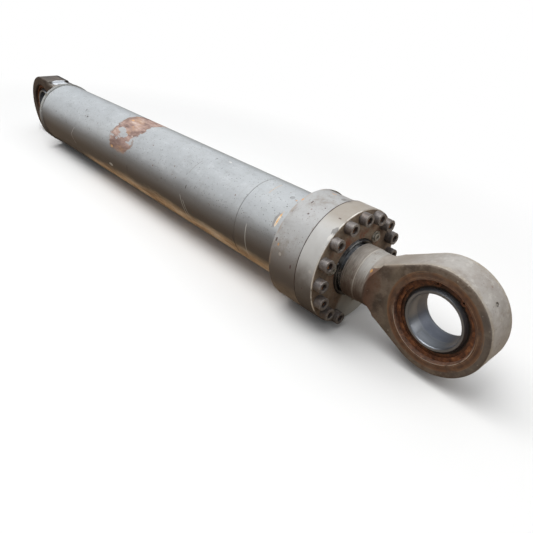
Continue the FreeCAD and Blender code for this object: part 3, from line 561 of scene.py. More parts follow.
def cap_marks(f, colour):
    """Base end: a dark greasy eye, a bare top beside its port with a painted sky reflection and a
    painted shadow band behind it, and the barrel's grey on the cap, darker low down with painted
    shade.
    """
    soil = f.noise(30.0, 5.0, 0.65, shift=(2, 7, 1))
    grease = f.colour(soil, [(0.35, 44, 37, 33), (0.6, 72, 61, 53), (0.75, 98, 88, 76)])
    colour = f.mix(f.x.rise(0.19, 0.12) * 0.85, colour, grease)
    top = f.z.rise(0.119, 0.123)
    along = (f.x - 0.128) / 0.036
    across = f.y / 0.036
    middle = along * along + across * across
    # painted reflection: the bare top beside the port in a pale sky blue
    bare = top * (middle + (soil - 0.5) * 1.2).rise(1.15, 0.75)
    # painted shadow: a dark band behind the bare top, on its far side
    far_side_shade = top * (f.y + (soil - 0.5) * 0.01).rise(0.034, 0.038)
    grey = f.colour(f.noise(14.0, 5.0, 0.6), [
        (0.35, 132, 131, 127), (0.6, 160, 161, 159), (0.75, 174, 176, 175)])
    colour = f.layered(colour, [
        (top * f.x.rise(0.06, 0.15), 0.75, 134, 129, 122),
        (bare, 0.92, 218, 222, 226),
        (far_side_shade, 0.9, 40, 36, 34)])
    # painted shade: the cap's grey darker towards the bottom
    grey = f.mix(f.z.rise(0.05, -0.05) * 0.7, grey, srgb(84, 75, 66))
    return f.mix(f.x.rise(RIM_BACK - 0.003, RIM_BACK), colour, grey)


def neck_marks(f, colour):
    """Turned neck of the rod eye: brown stains and a light weld line, with painted light on top and
    on a band, and painted shade low down.
    """
    from_face = f.x - FACE
    radius = f.radius
    neck = from_face.rise(0.096, 0.088) * radius.rise(0.088, 0.082)
    turning = f.noise(60.0, 4.0, 0.6, (6, 0.5, 0.5), (1, 2, 3))
    steel = f.colour(turning, [(0.3, 96, 87, 78), (0.5, 126, 117, 107), (0.7, 156, 148, 139)])
    stain = f.noise(26.0, 6.0, 0.7, shift=(1, 8, 3)).rise(0.44, 0.64)
    # painted shade: the neck darker and browner low down
    low = f.z.rise(0.045, -0.04)
    band = from_face.between(0.0605, 0.086, 0.0015)
    # painted highlight: the band lighter on its upper side
    bright = band * f.noise(18.0).rise(0.3, 0.45) * f.z.rise(0.01, 0.055)
    specks = f.spots(130.0, 0.28, 0.2, shift=(7, 2, 2))
    line = from_face.between(0.0168, 0.0182, 0.0005) + from_face.between(0.0565, 0.0583, 0.0005)
    steel = f.layered(steel, [
        (stain, 0.6, 88, 70, 57),
        # painted light: the neck lighter on top
        (f.z.rise(0.035, 0.07), 0.45, 166, 161, 154),
        (bright, 0.6, 170, 168, 163),
        (low, 0.75, 78, 60, 49),
        (specks, 0.5, 86, 62, 48),
        (line.clamped() * (1 - low * 0.7), 0.55, 198, 192, 183)])
    colour = f.mix(neck, colour, steel)
    spot = f.patch(FACE + 0.092, 137, 0.006, 0.010, 76 * MM, 0.35, 120.0)
    return f.mix(spot * 0.8, colour, srgb(196, 142, 70))


def polished_ring():
    """Hardened inner ring: dull ground bore with a worn band and bright bevels."""
    f = Finish("ball_steel")
    wide = f.noise(9.0, 3.0, 0.5, (1, 3.0, 1))
    hair = f.noise(240.0, 3.0, 0.6, (1, 0.08, 1))
    colour = f.colour(wide, [(0.3, 112, 116, 121), (0.5, 132, 136, 142), (0.72, 150, 154, 160)])
    band = (f.y + (f.noise(10.0, 3.0) - 0.5) * 0.008).between(-0.002, 0.032, 0.004)
    smear = f.noise(24.0, 4.0, 0.6, (1, 0.6, 1), (2, 2, 2)).rise(0.5, 0.75) * band
    grease = f.noise(30.0, 5.0, 0.65, (1, 0.5, 1), (4, 1, 1)).rise(0.62, 0.8)
    rough = 0.3 + (hair - 0.5) * 0.12 + band * 0.08 + grease * 0.15
    colour = f.layered(colour, [
        (band, 0.5, 104, 110, 126),
        (smear, 0.3, 150, 156, 168),
        (grease, 0.35, 84, 80, 76)])
    return f.done(colour, rough, 0.85, hair + wide * 0.3, 0.06, 0.0005)


def bearing_race():
    """Outer ring of a bearing: rust brown, with painted shade in black at its mouth, where it meets
    the ball.
    """
    f = Finish("bearing_steel")
    patchy = f.noise(40.0, 6.0, 0.7)
    colour = f.colour(patchy, [
        (0.3, 52, 38, 31), (0.48, 92, 62, 46), (0.62, 132, 88, 58), (0.78, 160, 116, 84)])
    radius = f.from_pin(ROD_PIN).at_most(f.from_pin(0.0))
    # painted shade: black in the gap at the mouth
    mouth = (radius + (patchy - 0.5) * 0.003).rise(0.0885, 0.0865)
    height = f.noise(150.0, 5.0, 0.7)
    colour = f.mix(mouth * 0.92, colour, srgb(16, 15, 15))
    return f.done(colour, 0.5 + (height - 0.5) * 0.3, 0.35, height, 0.4, 0.001)


def rusty_spring():
    """Circlip: dark spring steel with brown rust and grease."""
    f = Finish("spring_steel")
    colour = f.colour(f.noise(52.0, 6.0, 0.7, shift=(2, 1, 3)), [
        (0.34, 60, 40, 31), (0.48, 104, 66, 46), (0.6, 140, 92, 60), (0.74, 184, 134, 94)])
    height = f.noise(210.0, 4.0, 0.7)
    return f.done(colour, 0.5, 0.3, height, 0.4, 0.0008)


def screw_steel():
    """Blackened socket screws: dusty grey, brown in places, worn lighter on top."""
    f = Finish("screw_steel")
    dust = f.noise(60.0, 5.0, 0.65)
    colour = f.colour(dust, [(0.3, 80, 75, 72), (0.5, 106, 100, 97), (0.7, 136, 130, 125)])
    brown = f.noise(38.0, 5.0, 0.7, shift=(3, 1, 1)).rise(0.5, 0.66)
    top = f.x.rise(FACE + 0.0215, FACE + 0.0232) * f.noise(110.0, 3.0, 0.6).rise(0.36, 0.56)
    height = f.noise(260.0, 3.0, 0.6)
    colour = f.layered(colour, [
        (brown, 0.45, 96, 74, 58),
        (top, 0.5, 156, 150, 143)])
    return f.done(colour, 0.46 + (dust - 0.5) * 0.2, 0.3, height, 0.25, 0.0006)


def socket_dirt():
    """Orange-brown grease that has dried in the screws' sockets."""
    f = Finish("socket_dirt")
    colour = f.colour(f.noise(140.0, 5.0, 0.7), [
        (0.4, 36, 28, 24), (0.54, 74, 52, 38), (0.63, 166, 106, 54), (0.74, 216, 164, 106)])
    height = f.noise(320.0, 4.0, 0.7)
    return f.done(colour, 0.7, 0.0, height, 0.5, 0.0012)


def zinc_steel():
    """Small plated fittings, dulled and stained."""
    f = Finish("zinc_steel")
    colour = f.colour(f.noise(120.0, 5.0, 0.68), [
        (0.32, 112, 104, 92), (0.5, 152, 147, 136), (0.7, 184, 180, 170)])
    height = f.noise(300.0, 3.0, 0.6)
    return f.done(colour, 0.42, 0.35, height, 0.3, 0.0006)


def chrome():
    """Ground hard chrome with faint turning marks."""
    f = Finish("rod_chrome")
    hair = f.noise(300.0, 3.0, 0.6, (1, 0.1, 0.1))
    film = f.noise(12.0, 4.0, 0.6, (0.4, 1, 1))
    colour = f.colour(film, [(0.35, 196, 198, 202), (0.65, 220, 222, 225)])
    return f.done(colour, 0.12 + film * 0.1 + (hair - 0.5) * 0.05, 1.0, hair, 0.05, 0.0004)


def rubber():
    """Black oily rubber, with grey dust that is partly a painted sheen, and painted glints, on its
    upper side.
    """
    f = Finish("seal_rubber")
    film = f.noise(40.0, 3.0, 0.5)
    colour = f.colour(film, [(0.35, 15, 15, 17), (0.7, 30, 29, 30)])
    upper = f.angle.facing(96, 182, 14)
    # grey dust on the upper side, partly a painted sheen
    dust = f.noise(70.0, 4.0, 0.6, (1, 0.5, 0.5), (2, 2, 5)).rise(0.44, 0.62) * upper
    # painted glints: white highlight spots on the upper side
    painted_glint = f.noise(60.0, 3.0, 0.5, (0.8, 1, 1), (7, 1, 4)).rise(0.62, 0.7) * upper
    colour = f.layered(colour, [
        (dust, 0.5, 104, 105, 105),
        (painted_glint, 0.5, 196, 200, 202)])
    return f.done(colour, 0.14 + film * 0.12, 0.0, film, 0.05, 0.0006,
                  {"Coat Weight": 0.5, "Coat Roughness": 0.25})


def resin(name, dark, light):
    """Plastic of the guide and seal rings, with a faint weave."""
    f = Finish(name)
    weave = (f.x * 1800.0).math("SINE") * (f.angle * 160.0).math("SINE")
    colour = f.colour(f.noise(90.0, 4.0, 0.6) + weave * 0.06, [(0.35, *dark), (0.65, *light)])
    return f.done(colour, 0.5 + weave * 0.04, 0.0, weave, 0.2, 0.0003)


def turned_steel():
    """Oiled turned steel of the inner pieces."""
    f = Finish("turned_steel")
    marks = f.noise(90.0, 4.0, 0.6, (8, 0.6, 0.6))
    colour = f.colour(marks, [(0.35, 120, 119, 117), (0.65, 160, 159, 157)])
    return f.done(colour, 0.3 + marks * 0.16, 0.85, marks, 0.2, 0.0005)


# Mesh building


def in_scene(name, data):
    """New object in the scene."""
    thing = bpy.data.objects.new(name, data)
    scene.collection.objects.link(thing)
    return thing


def mesh_from(bm, name):
    """Mesh with the shape that was built."""
    bmesh.ops.recalc_face_normals(bm, faces=bm.faces)
    mesh = bpy.data.meshes.new(name)
    bm.to_mesh(mesh)
    bm.free()
    return mesh


def turned(mesh, axis, degrees):
    """The mesh turned about an axis through the origin."""
    mesh.transform(Matrix.Rotation(math.radians(degrees), 4, axis))
    return mesh


def shifted(mesh, x=0.0, y=0.0):
    """The mesh moved along X and Y."""
    mesh.transform(Matrix.Translation((x, y, 0.0)))
    return mesh


def new_piece(name, mesh, material, body, nodes):
    """Puts a mesh in the scene, riding on a body and standing for CAD nodes."""
    piece = in_scene(name, mesh)
    mesh.materials.clear()
    mesh.materials.append(material)
    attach(piece, body)
    if nodes:
        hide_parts(*nodes)


def smooth(mesh, degrees=32.0):
    """Smooth shading with edges sharper than the angle kept."""
    mesh.polygons.foreach_set("use_smooth", [True] * len(mesh.polygons))
    mesh.set_sharp_from_angle(angle=math.radians(degrees))
    return mesh


def rounded(points, steps=4):
    """Outline with its corners turned into arcs. Points are (along, radius, corner in mm)."""
    result = []
    count = len(points)
    for i in range(count):
        here = Vector(points[i][:2])
        size = points[i][2] * MM if len(points[i]) > 2 else 0.0
        before = Vector(points[i - 1][:2]) - here
        after = Vector(points[(i + 1) % count][:2]) - here
        if size <= 0 or before.length < 1e-9 or after.length < 1e-9:
            result.append(tuple(here))
            continue
        half = before.angle(after) / 2
        reach = min(size / math.tan(half), before.length * 0.49, after.length * 0.49)
        start = here + before.normalized() * reach
        end = here + after.normalized() * reach
        for step in range(steps + 1):
            t = step / steps
            spot = start.lerp(here, t).lerp(here.lerp(end, t), t)
            result.append(tuple(spot))
    return result


def lathe(name, outline, axis="X", at=0.0, segments=160):
    """Mesh turned from an outline of (along, radius) points, solid if its ends are on the axis."""
    solid = outline[0][1] == 0 and outline[-1][1] == 0
    bm = bmesh.new()
    rings = []
    for i in range(segments):
        turn = 2 * math.pi * i / segments
        cosine, sine = math.cos(turn), math.sin(turn)
        ring = []
        for along, radius in outline:
            if axis == "X":
                spot = (along + at, radius * cosine, radius * sine)
            else:
                spot = (radius * cosine + at, along, radius * sine)
            ring.append(bm.verts.new(spot))
        rings.append(ring)
    count = len(outline)
    for i in range(segments):
        now, then = rings[i], rings[(i + 1) % segments]
        for j in range(count):
            k = (j + 1) % count
            if solid and k == 0:
                continue
            bm.faces.new((now[j], now[k], then[k], then[j]))
    bmesh.ops.remove_doubles(bm, verts=bm.verts, dist=1e-7)
    bmesh.ops.dissolve_degenerate(bm, edges=bm.edges, dist=1e-7)
    return mesh_from(bm, name)


def prism(name, outline, low, high, plane="XZ"):
    """Mesh pushed out from a flat outline, between two heights across its plane."""
    bm = bmesh.new()
    floors = []
    for height in (low, high):
        ring = []
        for a, b in outline:
            ring.append(bm.verts.new((a, height, b) if plane == "XZ" else (a, b, height)))
        floors.append(ring)
    bm.faces.new(floors[0])
    bm.faces.new(floors[1])
    count = len(outline)
    for j in range(count):
        k = (j + 1) % count
        bm.faces.new((floors[0][j], floors[0][k], floors[1][k], floors[1][j]))
    return mesh_from(bm, name)


def carved(mesh, tools, operation="DIFFERENCE"):
    """Mesh after cutting tools out of it, or joining them on."""
    for tool in tools:
        holder = in_scene("holder", mesh)
        other = in_scene("tool", tool)
        modifier = holder.modifiers.new("boolean", "BOOLEAN")
        modifier.operation = operation
        modifier.object = other
        modifier.solver = "EXACT"
        bpy.context.view_layer.update()
        depsgraph = bpy.context.evaluated_depsgraph_get()
        mesh = bpy.data.meshes.new_from_object(holder.evaluated_get(depsgraph))
        bpy.data.objects.remove(holder)
        bpy.data.objects.remove(other)
    return mesh


def arc(centre, radius, start, end, steps):
    """Points along an arc between two angles in degrees."""
    turns = [math.radians(start + (end - start) * i / steps) for i in range(steps + 1)]
    return [(centre[0] + radius * math.cos(turn), centre[1] + radius * math.sin(turn))
            for turn in turns]


def hexagon(flats):
    """Corners of a hexagon across the given flats."""
    return arc((0, 0), flats / math.sqrt(3), 0, 300, 5)


# Pieces


def make_barrel(paint):
    """Tube, and collar with its neck, port pad and holes."""
    bevel = 1.5 * MM
    tube = rounded([(TUBE_START, BORE_R), (TUBE_START, BARREL_R - bevel),
                    (TUBE_START + bevel, BARREL_R, 0.6),
                    (TUBE_END - bevel, BARREL_R, 0.6), (TUBE_END, BARREL_R - bevel),
                    (TUBE_END, BORE_R)])
    new_piece("barrel_tube_shell", smooth(lathe("tube", tube, segments=192)), paint, "barrel",
              ["barrel_tube"])
    root_mm, corner_mm = 7, 2.2
    seat_r = 118 * MM
    nose_end = gland_lo[0] - 2 * MM
    collar = rounded([
        (TUBE_END, BORE_R), (TUBE_END, BARREL_R - bevel), (TUBE_END + bevel, BARREL_R, 0.6),
        (COLLAR_BACK, BARREL_R, root_mm), (COLLAR_BACK, COLLAR_R, corner_mm),
        (SEAM, COLLAR_R, 1.0), (SEAM, seat_r), (nose_end, seat_r),
        (nose_end - 6 * MM, BORE_R)])
    mesh = lathe("collar", collar, segments=192)
    port = mounts["rod_side_port"]
    lean = math.degrees(math.atan2(port["axis"][2], port["axis"][1]))
    half_pad = 55 * MM
    depth = math.sqrt(COLLAR_R ** 2 - half_pad ** 2)
    pad = prism("pad", [(COLLAR_BACK + 4 * MM, depth), (SEAM - 4 * MM, depth),
                        (SEAM - 4 * MM, 0.2), (COLLAR_BACK + 4 * MM, 0.2)], -0.1, 0.1)
    tools = [pad] + port_holes(port["pos_m"][0], depth, port["dims"]["r_mm"] * MM)
    mesh = carved(mesh, [turned(tool, "X", lean - 90) for tool in tools])
    new_piece("barrel_collar_shell", smooth(mesh), paint, "barrel", ["barrel_collar"])


def port_holes(x, top, port_r):
    """Cutting tools for a port that faces +Z: its drilling and four tapped holes."""
    tools = []
    bolt_x, bolt_y = 18.25 * MM, 39.7 * MM
    bolt_r, bolt_depth, port_depth = 7 * MM, 30 * MM, 60 * MM
    mouth = 1.2 * MM
    spots = [(0.0, 0.0, port_r, port_depth)]
    for dx in (-bolt_x, bolt_x):
        for dy in (-bolt_y, bolt_y):
            spots.append((dx, dy, bolt_r, bolt_depth))
    for dx, dy, radius, depth in spots:
        outline = [(top - depth, 0.0), (top - depth, radius), (top - mouth, radius),
                   (top + 0.2 * MM, radius + mouth), (top + 20 * MM, radius + mouth),
                   (top + 20 * MM, 0.0)]
        tool = lathe("hole", outline, segments=40)
        tools.append(shifted(turned(tool, "Y", -90), x + dx, dy))
    return tools


def make_gland(paint):
    """Gland with its flange, and the nose inside the collar."""
    seat_r = 117.95 * MM
    gallery_r = 108 * MM
    inner = 70.6 * MM
    wiper_seat_r = 85 * MM
    seat_floor = FACE - 13 * MM
    cushion_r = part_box("cushion_sleeve")[1][1] + 0.5 * MM
    cushion_end = gland_lo[0] + 40 * MM
    seat_start = SEAM - 38 * MM
    seam_gap = 0.4 * MM
    outline = rounded([
        (gland_lo[0], cushion_r), (gland_lo[0], gallery_r, 1),
        (seat_start - 4 * MM, gallery_r), (seat_start, seat_r),
        (SEAM + seam_gap, seat_r), (SEAM + seam_gap, COLLAR_R, 1.0),
        (FACE - 3 * MM, COLLAR_R, 0.8), (FACE, COLLAR_R - 3 * MM, 0.8),
        (FACE, 86 * MM, 0.8), (FACE - 2 * MM, wiper_seat_r), (seat_floor, wiper_seat_r),
        (seat_floor, inner), (cushion_end, inner), (cushion_end, cushion_r)])
    new_piece("gland_shell", smooth(lathe("gland", outline, segments=192)), paint, "barrel",
              ["gland"])


def screw_mesh(seat, head_r, height, flats, depth, shank_r, shank_end):
    """Socket head screw along X with rounded edges and a bevelled socket mouth."""
    top = seat + height
    outline = rounded([(shank_end, 0.0), (shank_end, shank_r), (seat, shank_r),
                       (seat, head_r, 0.5), (top, head_r, 1.6), (top, 0.0)])
    mesh = lathe("screw", outline, segments=48)
    bar = prism("socket", hexagon(flats), 0.0, depth + 1 * MM, "XY")
    shifted(turned(bar, "Y", 90), top - depth)
    mouth_r = flats / math.sqrt(3) * 1.03
    mouth = lathe("mouth", [
        (top - 1.1 * MM, 0.0), (top - 1.1 * MM, mouth_r - 1.2 * MM),
        (top + 0.3 * MM, mouth_r + 0.2 * MM), (top + 0.3 * MM, 0.0)], segments=48)
    return carved(mesh, [bar, mouth])


def spread_round(mesh, pitch_r, angles, seed):
    """Copies of a screw at angles round the axis, each turned its own way, as one mesh."""
    draw = random.Random(seed)
    bm = bmesh.new()
    for degrees in angles:
        copy = mesh.copy()
        copy.transform(Matrix.Rotation(draw.uniform(0, 2 * math.pi), 4, "X"))
        turned(shifted(copy, y=pitch_r), "X", degrees)
        bm.from_mesh(copy)
        bpy.data.meshes.remove(copy)
    joined = bpy.data.meshes.new("spread")
    bm.to_mesh(joined)
    bm.free()
    return joined


def make_screws(steel, plated, dirt):
    """Gland screws, the small plug screws and the dirt in their sockets."""
    places, empty = 16, (12, 13)
    angles = [360 / places * i for i in range(places) if i not in empty]
    pitch = 148.5 * MM
    screw = screw_mesh(seat=FACE, head_r=18 * MM, height=24 * MM, flats=19 * MM,
                       depth=12 * MM, shank_r=12 * MM, shank_end=SEAM - 30 * MM)
    new_piece("gland_screw_set", smooth(spread_round(screw, pitch, angles, 7), 30.0), steel,
              "barrel", ["gland_screws"])
    washer_top = FACE + 3.5 * MM
    washer = lathe("washer", rounded([(FACE, 6.2 * MM), (FACE, 17 * MM, 0.3),
                                      (washer_top, 17 * MM, 0.8), (washer_top, 6.2 * MM)]),
                   segments=40)
    small = screw_mesh(seat=washer_top, head_r=12 * MM, height=5 * MM, flats=10 * MM,
                       depth=4 * MM, shank_r=6 * MM, shank_end=FACE - 22 * MM)
    plugs = [45.0, 165.0, 285.0]
    plug_pitch = 104.5 * MM
    new_piece("gland_plug_set", smooth(spread_round(small, plug_pitch, plugs, 3), 30.0), plated,
              "barrel", ["gland_plug_screws"])
    new_piece("gland_plug_washers", smooth(spread_round(washer, plug_pitch, plugs, 3)), plated,
              "barrel", ())
    floor = FACE + 12 * MM
    cake = lathe("cake", [(floor - 0.5 * MM, 0.0), (floor - 0.5 * MM, 9.4 * MM),
                          (floor + 4.4 * MM, 9.4 * MM), (floor + 3.0 * MM, 5 * MM),
                          (floor + 2.2 * MM, 0.0)], segments=24)
    new_piece("screw_socket_grease", smooth(spread_round(cake, pitch, angles, 11), 80.0), dirt,
              "barrel", ())


def make_wiper(black):
    """Wiper with its rounded lip."""
    lip = ROD_R + 0.05 * MM
    outside = 84.9 * MM
    outline = rounded([
        (wiper_lo[0], lip + 1.5 * MM), (wiper_lo[0], outside), (FACE, outside, 0.5),
        (FACE + 1 * MM, outside - 1 * MM, 0.6),
        (wiper_hi[0] - 2 * MM, outside - 1.5 * MM, 1),
        (wiper_hi[0], outside - 4 * MM, 1.2), (wiper_hi[0], lip, 0.6),
        (wiper_hi[0] - 3 * MM, lip), (FACE + 1 * MM, lip + 1.5 * MM)])
    new_piece("rod_wiper_ring", smooth(lathe("wiper", outline, segments=128)), black, "barrel",
              ["rod_wiper"])


def make_rod(metal):
    """Rod with its turned-down tail."""
    tail = 52.5 * MM
    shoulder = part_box("piston")[1][0]
    outline = rounded([(rod_lo[0], 0.0), (rod_lo[0], tail, 3), (shoulder, tail),
                       (shoulder, ROD_R, 1), (rod_hi[0], ROD_R), (rod_hi[0], 0.0)])
    new_piece("piston_rod_bar", smooth(lathe("rod", outline, segments=128)), metal,
              "rod", ["piston_rod"])


def eye_flank(shoulder_x, shoulder_r, corner_x, stations):
    """Upper half of an eye's side outline: a circle and a flank that bends into the neck."""
    reach = math.hypot(corner_x, shoulder_r)
    touch = math.atan2(shoulder_r, corner_x) + math.acos(EYE_R / reach)
    slope = math.pi / 2 - touch
    flank_r = 60 * MM
    run = min(flank_r * math.tan(slope / 2), shoulder_x - corner_x)
    points = arc((0, 0), EYE_R, 180, math.degrees(touch), 90)
    if run > 0:
        bend = run / math.tan(slope / 2)
        points += arc((corner_x + run, shoulder_r + bend), bend, -90 - math.degrees(slope), -90, 10)
    points.append((shoulder_x, shoulder_r))
    added = []
    for before, after in zip(points, points[1:]):
        for x in stations:
            if before[0] + 1e-5 < x < after[0] - 1e-5:
                share = (x - before[0]) / (after[0] - before[0])
                added.append((x, before[1] + share * (after[1] - before[1])))
    return sorted(points + added)


def eye_mesh(shoulder_x, shoulder_r, fillet, corner_x):
    """Forged eye with its pin at the origin and its neck along +X, before its bore."""
    swept = min(shoulder_r - HALF_WIDTH, fillet)
    length = math.sqrt(2 * fillet * swept - swept ** 2)
    flat_end = shoulder_x - length
    turn = math.acos(1 - swept / fillet)
    stations = [flat_end + fillet * math.sin(turn * i / 20) for i in range(21)]
    chain = eye_flank(shoulder_x, shoulder_r, corner_x, stations)
    last = len(chain) - 1
    edge = 6 * MM
    bm = bmesh.new()
    rows = []
    for side, fall in [(-1, 90 - 18 * i) for i in range(6)] + [(1, 18 * i) for i in range(6)]:
        inset = edge * (1 - math.cos(math.radians(fall)))
        drop = edge * (1 - math.sin(math.radians(fall)))
        upper, lower = [], []
        for k, (x, z) in enumerate(chain):
            ahead, behind = chain[min(k + 1, last)], chain[max(k - 1, 0)]
            along = Vector((ahead[0] - behind[0], ahead[1] - behind[1])).normalized()
            along = Vector((0.0, 1.0)) if k == 0 else along
            along = Vector((1.0, 0.0)) if k == last else along
            spot_x, spot_z = x + along.y * inset, z - along.x * inset
            rise = min(max(spot_x - flat_end, 0.0), length)
            half = HALF_WIDTH + fillet - math.sqrt(fillet ** 2 - rise ** 2)
            upper.append(bm.verts.new((spot_x, side * (half - drop), spot_z)))
            lower.append(bm.verts.new((spot_x, side * (half - drop), -spot_z)) if k else upper[0])
        rows.append((upper, lower))
    for k in range(last):
        for now, then in zip(rows, rows[1:]):
            for half in (0, 1):
                bm.faces.new((now[half][k], now[half][k + 1], then[half][k + 1], then[half][k]))
        for upper, lower in (rows[0], rows[-1]):
            cheek = [upper[k], upper[k + 1], lower[k + 1], lower[k]]
            bm.faces.new(cheek if k else cheek[:3])
    bm.faces.new([row[0][last] for row in rows] + [row[1][last] for row in reversed(rows)])
    body = mesh_from(bm, "eye")
    flare = 34 * MM
    ring = arc((shoulder_x, shoulder_r + flare), flare, -90, -180, 20)
    beyond = shoulder_x + 1 * MM
    ring += [(shoulder_x - flare, 0.4), (beyond, 0.4), (beyond, shoulder_r)]
    return carved(body, [lathe("flare", ring, segments=192)])


def bore_tool():
    """Cutting tool for the bearing seat, circlip grooves and rounded mouths."""
    half = HALF_WIDTH
    groove = BEARING_R + 3 * MM
    mouth = 2.5 * MM
    outline = []
    for side in (-1, 1):
        points = [(side * (half + 5 * MM), BEARING_R + mouth + 4 * MM),
                  (side * half, BEARING_R + mouth), (side * (half - mouth), BEARING_R),
                  (side * 40.2 * MM, BEARING_R), (side * 40.2 * MM, groove),
                  (side * 35 * MM, groove), (side * 35 * MM, BEARING_R)]
        outline += points if side < 0 else list(reversed(points))
    outline = [(outline[0][0], 0.0)] + outline + [(outline[-1][0], 0.0)]
    return lathe("bore", outline, axis="Y", segments=160)


def nipple_tool(degrees):
    """Cutting tool for the grease nipple's recess in an eye's rim."""
    outline = [(BEARING_R - 1 * MM, 0.0), (BEARING_R - 1 * MM, 3 * MM),
               (EYE_R - 8 * MM, 3 * MM), (EYE_R - 8 * MM, 5.8 * MM),
               (EYE_R - 0.8 * MM, 5.8 * MM), (EYE_R + 1 * MM, 7.4 * MM),
               (EYE_R + 1 * MM, 0.0)]
    return turned(lathe("nipple", outline, segments=32), "Y", -degrees)


def make_rod_eye(paint):
    """Rod eye with the turned neck that is welded to the rod."""
    shoulder = 190 * MM
    band_r = 76 * MM
    neck_r = 77.5 * MM
    blank = eye_mesh(shoulder_x=shoulder, shoulder_r=band_r, fillet=42 * MM, corner_x=167 * MM)
    band_end = shoulder + 32 * MM
    end = ROD_PIN - eye_lo[0]
    neck = rounded([(shoulder - 1.5 * MM, 0.0), (shoulder - 1.5 * MM, band_r - 0.4 * MM),
                    (shoulder + 2 * MM, band_r, 1), (band_end, band_r, 0.8),
                    (band_end + 1.5 * MM, neck_r, 0.8), (end - 2.5 * MM, neck_r, 1),
                    (end, neck_r - 2.5 * MM, 1), (end, 0.0)])
    mesh = carved(blank, [lathe("neck", neck, segments=160)], "UNION")
    mesh = carved(mesh, [bore_tool(), nipple_tool(140.0)])
    shifted(turned(mesh, "Z", 180), ROD_PIN)
    new_piece("rod_eye_forging", smooth(mesh, 28.0), paint, "rod", ["rod_eye"])


def make_base_eye(paint):
    """Base eye in one with the cap and its rim, port pad and holes."""
    rim_r = 142.6 * MM
    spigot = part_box("base_eye_cap")[1][0]
    blank = eye_mesh(shoulder_x=RIM_BACK, shoulder_r=137 * MM, fillet=26 * MM, corner_x=RIM_BACK)
    cap = rounded([(RIM_BACK - 1.2 * MM, 0.0), (RIM_BACK - 1.2 * MM, 130 * MM),
                   (RIM_BACK, 131 * MM), (RIM_BACK, rim_r, 2),
                   (TUBE_START - 1.0 * MM, rim_r, 2),
                   (TUBE_START, BARREL_R - 1 * MM), (TUBE_START, BORE_R - 0.05 * MM),
                   (spigot, BORE_R - 0.05 * MM, 2), (spigot, 0.0)])
    mesh = carved(blank, [lathe("cap", cap, segments=192)], "UNION")
    top = EYE_R - 12 * MM
    port = mounts["base_port"]
    mid = port["pos_m"][0]
    pad = prism("pad", [(mid - 31 * MM, top), (mid + 31 * MM, top), (mid + 31 * MM, 0.2),
                        (mid - 31 * MM, 0.2)], -0.2, 0.2)
    tools = [pad] + port_holes(mid, top, port["dims"]["r_mm"] * MM)
    tools += [bore_tool(), nipple_tool(140.0)]
    plug_mid = (RIM_BACK + TUBE_START) / 2
    recess = lathe("recess", [(rim_r - 3 * MM, 0.0), (rim_r - 3 * MM, 8.05 * MM),
                              (rim_r + 3 * MM, 8.05 * MM), (rim_r + 3 * MM, 0.0)], segments=32)
    tools.append(turned(shifted(turned(recess, "Y", -90), plug_mid), "X", 45))
    mesh = carved(mesh, tools)
    new_piece("base_eye_forging", smooth(mesh, 28.0), paint, "barrel", ["base_eye_cap"])


def make_bearings(ball_metal, race):
    """Inner and outer rings of both spherical bearings."""
    half, width = 45 * MM, 35 * MM
    ball = 89.85 * MM
    lean = math.degrees(math.asin(half / ball))
    outline = [(along, radius) for radius, along in arc((0, 0), ball, lean, -lean, 40)]
    shoulder_r = ball * math.cos(math.radians(lean))
    bevel = 2.3 * MM
    bore = rounded([(-half, shoulder_r), (-half, 72.3 * MM, 0.5),
                    (-half + bevel, PIN_R, 0.8), (half - bevel, PIN_R, 0.8),
                    (half, 72.3 * MM, 0.5), (half, shoulder_r)])
    inner = outline + bore[1:-1]
    hollow = 90 * MM
    tilt = math.degrees(math.asin(width / hollow))
    socket = [(along, radius) for radius, along in arc((0, 0), hollow, -tilt, tilt, 32)]
    mouth = socket[-1][1]
    back_r = BEARING_R - 0.1 * MM
    back = rounded([(width, mouth), (width, back_r, 1.5), (-width, back_r, 1.5),
                    (-width, mouth)])
    outer = socket + back[1:-1]
    drill = [(60 * MM, 0.0), (60 * MM, 3 * MM), (95 * MM, 3 * MM), (95 * MM, 0.0)]
    for end, pin_x, body, spin in (("rod", ROD_PIN, "rod", "rod_eye_ball"),
                                   ("base", 0.0, "barrel", "base_eye_ball")):
        ring = lathe("inner", inner, axis="Y", at=0.0, segments=128)
        holes = []
        for degrees in (-30.0, 150.0):
            hole = lathe("hole", drill, segments=24)
            holes.append(turned(hole, "Y", -degrees))
        ring = shifted(carved(ring, holes), pin_x)
        new_piece(end + "_bearing_ball_ring", smooth(ring), ball_metal, spin,
                  [end + "_bearing_inner_ring"])
        mesh = lathe("outer", outer, axis="Y", at=pin_x, segments=128)
        new_piece(end + "_bearing_race", smooth(mesh), race, body,
                  [end + "_bearing_outer_ring"])


def finish_nodes(finishes):
    """Gives every CAD node that still shows its material."""
    slots = {row["node"]: row["material_slot"] for row in frame["record"]["subparts"]}
    for name, node in frame["nodes"].items():
        node.data.materials.clear()
        node.data.materials.append(finishes[slots[name]])
        smooth(node.data)


def make_camera():
    """Camera at the photograph's place, worked out from its circles and edges."""
    width_px = 533.0
    focal_px = 501.57
    centre_px = (271.92, 271.10)
    data = bpy.data.cameras.new("camera")
    data.sensor_width = 36.0
    data.lens = focal_px / width_px * data.sensor_width
    data.shift_x = -(centre_px[0] - width_px / 2) / width_px
    data.shift_y = (centre_px[1] - width_px / 2) / width_px
    data.clip_end = 100.0
    right = Vector((0.6701, 0.7388, 0.0714))
    down = Vector((0.4202, -0.2983, -0.8570))
    forward = Vector((-0.6119, 0.6043, -0.5103))
    turn = Matrix((right, -down, -forward)).transposed().to_4x4()
    camera = in_scene("camera", data)
    camera.matrix_world = Matrix.Translation((FACE + 0.6997, -1.00805, 0.6808)) @ turn
    scene.camera = camera


